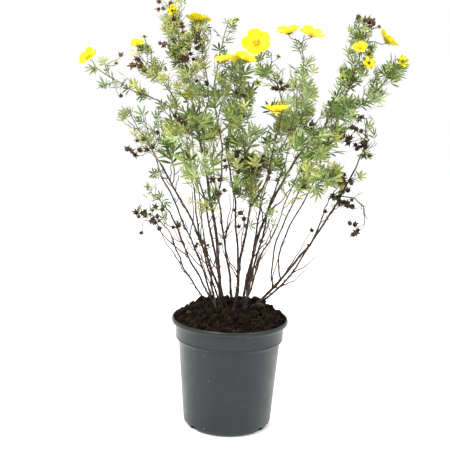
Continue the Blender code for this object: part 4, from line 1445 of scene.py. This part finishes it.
def flake_stands(limbs):
    """Flakes of bark along the lower stems."""
    stands = []
    for limb in STEMS:
        course = limbs[limb.name]
        rng = random.Random(f"{limb.name} flakes")
        for _ in range(int(course.length / FLAKE_SPACING)):
            share = rng.random() ** 1.3 * 0.92
            axis = course.along(share)
            out = spoke(axis, rng.uniform(0, math.tau))
            place = course.at(share) + out * course.radius(share) * 0.96
            size = rng.uniform(*FLAKE_LENGTHS) * min(1.0, course.radius(share) / FLAKE_LIMB)
            pose = angles_of(np.cross(axis, out), axis, out)
            stands.append(Stand(place, pose, size, rng.randrange(FLAKE_KINDS)))
    return stands


def stub_courses(limbs):
    """Short side twigs on every stem, shortest low down."""
    stubs = []
    for limb in STEMS:
        course = limbs[limb.name]
        rng = random.Random(f"{limb.name} stubs")
        for index in range(STUB_COUNT):
            share = rng.uniform(0.12, 0.97)
            axis = course.along(share)
            side = spoke(axis, rng.uniform(0, math.tau))
            foot = course.at(share)
            length = rng.uniform(*STUB_LENGTHS[foot[2] >= STUB_LEAF_HEIGHT])
            tip = foot + unit(axis * 0.9 + side) * length
            stubs.append(Course(f"{limb.name} stub {index}", foot, tip, (0, 0, 0), STUB_RADIUS))
    return stubs


def dead_twig_courses(limbs):
    """Long thin bare twigs that curve up between the stems."""
    twigs = []
    for limb in STEMS:
        course = limbs[limb.name]
        rng = random.Random(f"{limb.name} dead twigs")
        for index in range(DEAD_TWIG_COUNT):
            share = rng.uniform(0.15, 0.65)
            axis = course.along(share)
            side = spoke(axis, rng.uniform(0, math.tau))
            foot = course.at(share)
            length = rng.uniform(*DEAD_TWIG_LENGTH)
            tip = foot + unit(axis + side * 0.55 + np.array((0, 0, 0.3))) * length
            name = f"{limb.name} dead twig {index}"
            twigs.append(Course(name, foot, tip, side * length * 0.07, DEAD_TWIG_RADIUS))
    return twigs


def mottle_group():
    """Soft patches: noise at a scale, cut between two levels."""
    inputs = (
        ("Place", "Vector", None),
        ("Scale", "Float", 20.0),
        ("Low", "Float", 0.4),
        ("High", "Float", 0.7),
    )
    tree, given, result = new_tree("mottle", "ShaderNodeTree", inputs, [("Mask", "Float")])
    patches = put(
        tree, "ShaderNodeTexNoise", {"Vector": given["Place"], "Scale": given["Scale"], "Detail": 4.0}
    )
    cut = put(
        tree,
        "ShaderNodeMapRange",
        {0: patches.outputs[0], 1: given["Low"], 2: given["High"]},
    )
    tree.links.new(cut.outputs[0], result["Mask"])
    return tree


def streak_group():
    """Streaks along Z: noise on a place that is squeezed upright."""
    inputs = (
        ("Place", "Vector", None),
        ("Scale", "Float", 400.0),
        ("Squeeze", "Float", 0.12),
        ("Low", "Float", 0.4),
        ("High", "Float", 0.7),
    )
    tree, given, result = new_tree("streaks", "ShaderNodeTree", inputs, [("Mask", "Float")])
    apart = put(tree, "ShaderNodeSeparateXYZ", {0: given["Place"]})
    short = sums(tree, "MULTIPLY", apart.outputs[2], given["Squeeze"])
    flat = {0: apart.outputs[0], 1: apart.outputs[1], 2: short}
    joined = put(tree, "ShaderNodeCombineXYZ", flat)
    grain = put(
        tree, "ShaderNodeTexNoise", {"Vector": joined.outputs[0], "Scale": given["Scale"], "Detail": 3.0}
    )
    cut = put(tree, "ShaderNodeMapRange", {0: grain.outputs[0], 1: given["Low"], 2: given["High"]})
    tree.links.new(cut.outputs[0], result["Mask"])
    return tree


SPECK_EDGE = 20.0  # how sharp a speck's edge is
SPECK_CHANCE = 0.62  # cells whose own number is lower have none


def speck_group():
    """Scattered round specks, on about a third of the cells."""
    inputs = (("Place", "Vector", None), ("Scale", "Float", 60.0), ("Size", "Float", 0.12))
    tree, given, result = new_tree("specks", "ShaderNodeTree", inputs, [("Mask", "Float")])
    cells = put(tree, "ShaderNodeTexVoronoi", {"Vector": given["Place"], "Scale": given["Scale"]})
    inside = sums(tree, "SUBTRACT", given["Size"], cells.outputs["Distance"])
    soft = sums(tree, "MULTIPLY", inside, SPECK_EDGE, use_clamp=True)
    chosen = sums(tree, "GREATER_THAN", cells.outputs["Color"], SPECK_CHANCE)
    tree.links.new(sums(tree, "MULTIPLY", soft, chosen), result["Mask"])
    return tree


def band_group():
    """A soft mask that fades in upward between two heights."""
    inputs = (("Place", "Vector", None), ("Low", "Float", 0.0), ("High", "Float", 0.1))
    tree, given, result = new_tree("height fade", "ShaderNodeTree", inputs, [("Mask", "Float")])
    apart = put(tree, "ShaderNodeSeparateXYZ", {0: given["Place"]})
    cut = put(tree, "ShaderNodeMapRange", {0: apart.outputs[2], 1: given["Low"], 2: given["High"]})
    tree.links.new(cut.outputs[0], result["Mask"])
    return tree


class Finish:
    """A material in the making: one Principled shader, and the patterns that feed it."""

    def __init__(self, name, roughness, groups, gloss=0.2):
        self.material = bpy.data.materials.new(name)
        self.material.use_nodes = True
        self.tree = self.material.node_tree
        self.groups = groups
        self.shader = self.tree.nodes["Principled BSDF"]
        self.shader.inputs["Roughness"].default_value = roughness
        self.shader.inputs["Specular IOR Level"].default_value = gloss
        self.place = put(self.tree, "ShaderNodeTexCoord").outputs["Object"]
        self.pattern = put(self.tree, "ShaderNodeUVMap", uv_map="pattern").outputs["UV"]

    def mask(self, group, **values):
        """A shared pattern's mask, with this material's own values."""
        sockets = {name.capitalize(): value for name, value in values.items()}
        sockets["Place"] = self.place
        return put(self.tree, "ShaderNodeGroup", sockets, node_tree=self.groups[group]).outputs["Mask"]

    def scaled(self, mask, factor):
        return sums(self.tree, "MULTIPLY", mask, factor)

    def mixed(self, mask, first, second):
        """A colour between two, each a linear RGB or another colour's socket."""
        sides = {}
        for index, colour in ((6, first), (7, second)):
            sides[index] = colour if isinstance(colour, bpy.types.NodeSocket) else (*colour, 1.0)
        return put(self.tree, "ShaderNodeMix", {0: mask, **sides}, data_type="RGBA").outputs[2]

    def colour(self, socket):
        self.tree.links.new(socket, self.shader.inputs["Base Color"])

    def roughen(self, mask, low, high):
        spread = put(self.tree, "ShaderNodeMapRange", {0: mask, 3: low, 4: high})
        self.tree.links.new(spread.outputs[0], self.shader.inputs["Roughness"])

    def bump(self, mask, strength, distance):
        made = put(self.tree, "ShaderNodeBump", {"Height": mask, "Strength": strength, "Distance": distance})
        self.tree.links.new(made.outputs[0], self.shader.inputs["Normal"])


def pot_finish(groups):
    """Dark plastic with dust, upright scuffs, a few pale specks, and a little paler from the raised ring up."""
    made = Finish("pot plastic grey", 0.34, groups, gloss=0.36)
    dust = made.scaled(made.mask("mottle", scale=22.0, low=0.45, high=0.8), 0.30)
    scuffs = made.scaled(made.mask("streaks", scale=60.0, squeeze=0.08, low=0.5, high=0.75), 0.22)
    specks = made.scaled(made.mask("specks", scale=85.0, size=0.10), 0.5)
    # from the raised ring up, the grey is mixed a little toward a paler one
    ring = made.scaled(made.mask("height fade", low=RING_FOOT, high=RING_TOP), 0.18)
    plain = made.mixed(ring, (0.0095, 0.0140, 0.0150), (0.017, 0.0225, 0.0235))
    dusty = made.mixed(dust, plain, (0.030, 0.034, 0.034))
    scuffed = made.mixed(scuffs, dusty, (0.027, 0.034, 0.036))
    made.colour(made.mixed(specks, scuffed, (0.42, 0.42, 0.40)))
    made.roughen(made.mask("mottle", scale=30.0, low=0.3, high=0.7), 0.26, 0.40)
    made.bump(made.mask("mottle", scale=900.0, low=0.2, high=0.8), 0.10, 0.0006)
    return made.material


def soil_finish(name, groups, dark, light):
    """Damp compost in patches of two browns, with fine straw-coloured specks."""
    made = Finish(name, 0.95, groups, gloss=0.08)
    patches = made.mixed(made.mask("mottle", scale=90.0, low=0.42, high=0.72), dark, light)
    specks = made.scaled(made.mask("specks", scale=420.0, size=0.3), 0.2)
    made.colour(made.mixed(specks, patches, (0.14, 0.10, 0.055)))
    made.bump(made.mask("mottle", scale=700.0, low=0.2, high=0.8), 0.6, 0.002)
    return made.material


def bark_finish(name, groups, dark, light, upper):
    """Streaked bark, paler where it peels, turning to the young colour higher up."""
    made = Finish(name, 0.82, groups)
    streaks = made.mask("streaks", scale=650.0, squeeze=0.10, low=0.38, high=0.68)
    old = made.mixed(streaks, dark, light)
    peeled = made.scaled(made.mask("mottle", scale=110.0, low=0.54, high=0.68), 0.5)
    old = made.mixed(peeled, old, (0.25, 0.155, 0.11))
    rise = made.mask("height fade", low=OLD_BARK_TOP, high=YOUNG_BARK_FOOT)
    young = made.mixed(streaks, upper, tuple(c * 1.6 for c in upper))
    made.colour(made.mixed(rise, old, young))
    made.bump(streaks, 0.5, 0.0012)
    return made.material


def leaf_finish(name, groups, colour, edge):
    """A leaf's green, darkened in patches partly as painted shade, with a pale midrib and an edge paled partly as
    painted highlight.
    """
    made = Finish(name, 0.55, groups, gloss=0.25)
    # painted shade: patches of the leaf green at a third of its brightness stand for shaded leaves, besides their
    # own tone
    deep = tuple(c * 0.33 for c in colour)
    shade = made.mixed(made.mask("mottle", scale=85.0, low=0.38, high=0.60), deep, colour)
    across = put(made.tree, "ShaderNodeSeparateXYZ", {0: made.pattern}).outputs[0]
    off = sums(made.tree, "SUBTRACT", across, 0.5)
    off = put(made.tree, "ShaderNodeMath", {0: off}, operation="ABSOLUTE").outputs[0]
    # painted highlight: the paler, yellower edge is partly the leaf's own margin and partly a highlight painted on
    margin = put(made.tree, "ShaderNodeMapRange", {0: off, 1: 0.30, 2: 0.5, 4: 0.5}).outputs[0]
    rib = put(made.tree, "ShaderNodeMapRange", {0: off, 1: 0.10, 2: 0.0, 4: 0.45}).outputs[0]
    pale_edged_with_highlight = made.mixed(margin, shade, edge)
    made.colour(made.mixed(rib, pale_edged_with_highlight, tuple(min(1.0, c * 1.7 + 0.04) for c in colour)))
    made.bump(rib, 0.3, 0.001)
    return made.material


def petal_finish(groups):
    """Yellow with painted shade in soft clouds of darker yellow and in orange-brown patches, and orange at the
    claw.
    """
    made = Finish("petal yellow", 0.55, groups)
    along = put(made.tree, "ShaderNodeSeparateXYZ", {0: made.pattern}).outputs[1]
    claw = put(made.tree, "ShaderNodeMapRange", {0: along, 1: 0.36, 2: 0.05, 4: 0.85}).outputs[0]
    # painted shade: clouds of darker yellow stand for shading across the petals
    painted_shade_clouds = made.mask("mottle", scale=120.0, low=0.3, high=0.7)
    broad = made.mixed(painted_shade_clouds, (0.86, 0.66, 0.005), (0.96, 0.83, 0.012))
    # painted shade: orange-brown patches stand for the deeper shading on the petals
    rust_and_painted_shade = made.scaled(made.mask("mottle", scale=190.0, low=0.55, high=0.72), 0.45)
    yellow_with_painted_shade = made.mixed(rust_and_painted_shade, broad, (0.66, 0.34, 0.004))
    made.colour(made.mixed(claw, yellow_with_painted_shade, (0.72, 0.36, 0.004)))
    made.bump(made.mask("mottle", scale=500.0, low=0.2, high=0.8), 0.15, 0.0008)
    return made.material


SPOTTED = {  # small things' roughness, the scale of their patches, and the two colours
    "floor white": (0.6, 3.0, (0.93, 0.93, 0.93), (0.95, 0.95, 0.95)),
    "moss green": (0.9, 260.0, (0.014, 0.017, 0.005), (0.052, 0.058, 0.016)),
    "fibre straw": (0.8, 300.0, (0.10, 0.055, 0.028), (0.33, 0.22, 0.10)),
    "bark flake brown": (0.85, 400.0, (0.05, 0.026, 0.016), (0.20, 0.115, 0.07)),
    "twig brown green": (0.7, 35.0, (0.075, 0.042, 0.022), (0.15, 0.145, 0.05)),
    "stamen orange": (0.6, 500.0, (0.50, 0.28, 0.004), (0.78, 0.52, 0.01)),
    "sepal green": (0.6, 200.0, (0.20, 0.26, 0.05), (0.50, 0.50, 0.07)),
    "dry head brown": (0.8, 330.0, (0.012, 0.008, 0.004), (0.100, 0.062, 0.030)),
    "dry head rust": (0.8, 330.0, (0.028, 0.011, 0.006), (0.180, 0.080, 0.036)),
}
OLD_BARK = ((0.007, 0.005, 0.0035), (0.072, 0.046, 0.032), (0.060, 0.048, 0.021))  # dark, light, upper
YOUNG_BARK = ((0.03, 0.02, 0.01), (0.11, 0.07, 0.035), (0.075, 0.07, 0.026))
DARK_COMPOST = ((0.006, 0.0035, 0.0018), (0.024, 0.015, 0.008))
BROWN_COMPOST = ((0.006, 0.0038, 0.002), (0.040, 0.024, 0.013))


def spotted_finish(name, groups):
    """A finish for small things: two colours in patches at their own scale."""
    roughness, scale, dark, light = SPOTTED[name]
    made = Finish(name, roughness, groups)
    patches = made.mask("mottle", scale=scale, low=0.36, high=0.66)
    made.colour(made.mixed(patches, dark, light))
    made.bump(patches, 0.3, 0.0008)
    return made.material


CAMERA_DISTANCE = 1.35
CAMERA_HEIGHT = 0.5614
CAMERA_SIDE = -0.0127
CAMERA_PITCH = 0.1692
CAMERA_ROLL = 0.0316
CAMERA_FOCAL = 854.0  # in pixels of a picture 450 wide
PICTURE_WIDTH = 450
SENSOR_WIDTH = 36.0
FLOOR_GLOW = 0.36  # keeps the floor white to the horizon
SKY_STRENGTH = 0.65  # of the sky's light on the plant. Seen or mirrored, the sky is full white


def make_camera():
    """The camera at the photograph's place, tipped down and a little rolled."""
    right = Vector((1, 0, 0))
    forward = Vector((0, math.cos(CAMERA_PITCH), -math.sin(CAMERA_PITCH)))
    upward = Vector((0, math.sin(CAMERA_PITCH), math.cos(CAMERA_PITCH)))
    across = right * math.cos(CAMERA_ROLL) + upward * math.sin(CAMERA_ROLL)
    above = upward * math.cos(CAMERA_ROLL) - right * math.sin(CAMERA_ROLL)
    data = bpy.data.cameras.new("camera")
    data.sensor_width = SENSOR_WIDTH
    data.lens = CAMERA_FOCAL / PICTURE_WIDTH * SENSOR_WIDTH
    camera = bpy.data.objects.new("camera", data)
    bpy.context.scene.collection.objects.link(camera)
    turn = Matrix([*zip(across, above, -forward)]).to_4x4()
    camera.matrix_world = Matrix.Translation((CAMERA_SIDE, -CAMERA_DISTANCE, CAMERA_HEIGHT)) @ turn
    bpy.context.scene.camera = camera


LIGHTS = (  # name, place, aim, size and power
    ("key", (-0.9, -1.3, 2.1), (0.0, 0.0, 0.35), 1.0, 62.0),
    ("fill", (1.5, -0.9, 1.2), (0.0, 0.0, 0.35), 1.2, 10.0),
    ("top", (0.1, 0.7, 2.2), (0.0, 0.0, 0.4), 1.2, 24.0),
)
FLOOR_RADIUS = 3.5


def make_light(name, place, target, size, power):
    data = bpy.data.lights.new(name, "AREA")
    data.shape = "DISK"
    data.size = size
    data.energy = power
    light = bpy.data.objects.new(name, data)
    bpy.context.scene.collection.objects.link(light)
    aim = Vector(target) - Vector(place)
    light.matrix_world = Matrix.Translation(place) @ aim.to_track_quat("-Z", "Y").to_matrix().to_4x4()


def make_studio(groups):
    """A wide white floor under a white sky, with soft lights above and in front."""
    world = bpy.data.worlds.new("white studio")
    world.use_nodes = True
    world.node_tree.nodes["Background"].inputs["Color"].default_value = (1.0, 1.0, 1.0, 1.0)
    path = put(world.node_tree, "ShaderNodeLightPath").outputs["Is Diffuse Ray"]
    strength = put(world.node_tree, "ShaderNodeMapRange", {0: path, 3: 1.0, 4: SKY_STRENGTH}).outputs[0]
    world.node_tree.links.new(strength, world.node_tree.nodes["Background"].inputs["Strength"])
    bpy.context.scene.world = world
    bpy.context.scene.view_settings.view_transform = "Standard"
    work = bmesh.new()
    bmesh.ops.create_circle(work, cap_ends=True, segments=96, radius=FLOOR_RADIUS)
    bmesh.ops.translate(work, verts=work.verts, vec=(0, 0, -0.0004))
    finish = spotted_finish("floor white", groups)
    shader = finish.node_tree.nodes["Principled BSDF"]
    shader.inputs["Emission Color"].default_value = (1.0, 1.0, 1.0, 1.0)
    shader.inputs["Emission Strength"].default_value = FLOOR_GLOW
    floor = add_object("floor", mesh_of(work, "floor"), finish)
    for light in LIGHTS:
        make_light(*light)


def carry(piece, nodes=()):
    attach(piece, BODY)
    if nodes:
        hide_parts(*nodes)


def make_compost(groups, scatter):
    finish = soil_finish("compost dark", groups, *DARK_COMPOST)
    carry(make_soil(finish), ["soil"])
    clods = soil_stands("clods", CLOD_COUNT, CLOD_SIZES, 0.3, 5)
    shapes = lump_shapes("clod", 5, 2, 0.5)
    carry(scattered("compost_clods", clods, shapes, scatter, finish, 0.5))
    brown = soil_finish("compost brown", groups, *BROWN_COMPOST)
    crumbs = soil_stands("crumbs", CRUMB_COUNT, CRUMB_SIZES, 0.3, 6)
    shapes = lump_shapes("crumb", 6, 1, 0.55)
    carry(scattered("compost_crumbs", crumbs, shapes, scatter, brown, 0.8))
    green = spotted_finish("moss green", groups)
    moss = [Stand((x, y, soil_height(x, y) + 0.002), (0, 0, x * 90), size, 0) for x, y, size in MOSS]
    carry(scattered("moss_lumps", moss, lump_shapes("moss", 1, 3, 0.5), scatter, green))
    straw = spotted_finish("fibre straw", groups)
    fibres = soil_stands("fibres", FIBRE_COUNT, FIBRE_LENGTHS, 0.12, 4)
    carry(scattered("compost_fibres", fibres, fibre_shapes(), scatter, straw, 0.3))


def make_limbs(groups, skin, scatter, limbs, growth):
    old = bark_finish("old bark", groups, *OLD_BARK)
    stems = skinned("stem_bark", limb_lines(STEMS, limbs), skin, old, *STEM_SKIN)
    carry(stems, [limb.name for limb in STEMS])
    young = bark_finish("young bark", groups, *YOUNG_BARK)
    boughs = skinned("bough_bark", limb_lines(BOUGHS, limbs), skin, young, *BOUGH_SKIN)
    carry(boughs, [limb.name for limb in BOUGHS])
    flaky = spotted_finish("bark flake brown", groups)
    carry(scattered("bark_flakes", flake_stands(limbs), strip_shapes(), scatter, flaky, 0.12))
    stubs = stub_courses(limbs)
    growth.grow_stub_leaves(stubs)
    lines = [twig_line(stub, 0.003) for stub in stubs]
    carry(skinned("side_stubs", lines, skin, old, STUB_SIDES))
    dead = dead_twig_courses(limbs)
    for index, twig in enumerate(dead):
        if index % DEAD_TWIGS_TO_A_HEAD == 0:
            growth.add_head(twig.at(1.0), twig.along(1.0), random.Random(twig.name))
    lines = [twig_line(twig, 0.004) for twig in dead]
    carry(skinned("dead_twigs", lines, skin, old, STUB_SIDES))


def make_foliage(groups, skin, scatter, growth):
    twiggy = spotted_finish("twig brown green", groups)
    lines = []
    for twigs in growth.twigs.values():
        lines.append(twig_line(twigs[0], 0.004, root_of(twigs[0])))
        lines += [twig_line(twig, 0.005) for twig in twigs[1:]]
    twigs = skinned("twigs", lines, skin, twiggy, TWIG_SIDES)
    carry(twigs, [spray.name for spray in SPRAYS])
    stalks = [twig_line(stalk, 0.004) for stalk in growth.stalks]
    carry(skinned("stalks", stalks, skin, twiggy, STALK_SIDES))
    shapes = leaf_shapes()
    for tint, (colour, edge) in LEAF_TINTS.items():
        finish = leaf_finish(f"leaf {tint}", groups, colour, edge)
        leaves = scattered(f"leaves_{tint}", growth.leaves[tint], shapes, scatter, finish, 0.12)
        carry(leaves)


def make_flowers(groups, scatter, growth):
    petals, hearts, calyxes = flower_stands()
    stars = []
    for index, star in enumerate(STARS + FADED):
        facing = facing_of(*star.facing)
        place = metres(star.place)
        if star in STARS:
            stars.append(Stand(place, turn_to(facing, index), metres(star.width) / 2, index % CALYX_KINDS))
        growth.heads.append(Stand(place + facing * 0.0008, turn_to(facing), 0.5, index % CALYX_KINDS))
    petal = scattered("petals", petals, petal_shapes(), scatter, petal_finish(groups), 0.05)
    carry(petal)
    orange = spotted_finish("stamen orange", groups)
    carry(scattered("flower_hearts", hearts, heart_shapes(), scatter, orange))
    sepal = spotted_finish("sepal green", groups)
    shapes = calyx_shapes()
    carry(scattered("calyxes", calyxes + stars, shapes, scatter, sepal, 0.1))
    heads = [head._replace(size=head.size * HEAD_RADIUS) for head in growth.heads]
    dry = spotted_finish("dry head brown", groups)
    low = [head for head in heads if head.place[2] < RUSTY_HEIGHT]
    carry(scattered("dry_heads", low, head_shapes(), scatter, dry, 0.5))
    rusty = spotted_finish("dry head rust", groups)
    high = [head for head in heads if head.place[2] >= RUSTY_HEIGHT]
    carry(scattered("rusty_heads", high, head_shapes(), scatter, rusty, 0.5))


def main():
    groups = {
        "mottle": mottle_group(),
        "streaks": streak_group(),
        "specks": speck_group(),
        "height fade": band_group(),
    }
    make_camera()
    make_studio(groups)
    skin, scatter = skin_tree(), scatter_tree()
    carry(make_pot(pot_finish(groups)), ["pot"])
    make_compost(groups, scatter)
    limbs = limb_courses()
    leaders = leader_courses(limbs)
    growth = Growth(limbs, leaders)
    make_limbs(groups, skin, scatter, limbs, growth)
    for spray in SPRAYS:
        growth.grow_twigs(spray)
        growth.grow_leaves(spray)
    for index, bloom in enumerate(BLOOMS + FADED + STARS):
        facing = facing_of(*bloom.facing)
        under = metres(bloom.place) - facing * 0.001
        growth.add_stalk(f"flower stalk {index}", under, facing, FLOWER_STALK_RADIUS)
    for spray in SPRAYS:
        growth.grow_heads(spray)
    for index, cyme in enumerate(CYMES):
        growth.add_cyme(f"cyme {index}", metres(cyme.place), cyme.count, metres(cyme.spread))
    make_foliage(groups, skin, scatter, growth)
    make_flowers(groups, scatter, growth)


main()
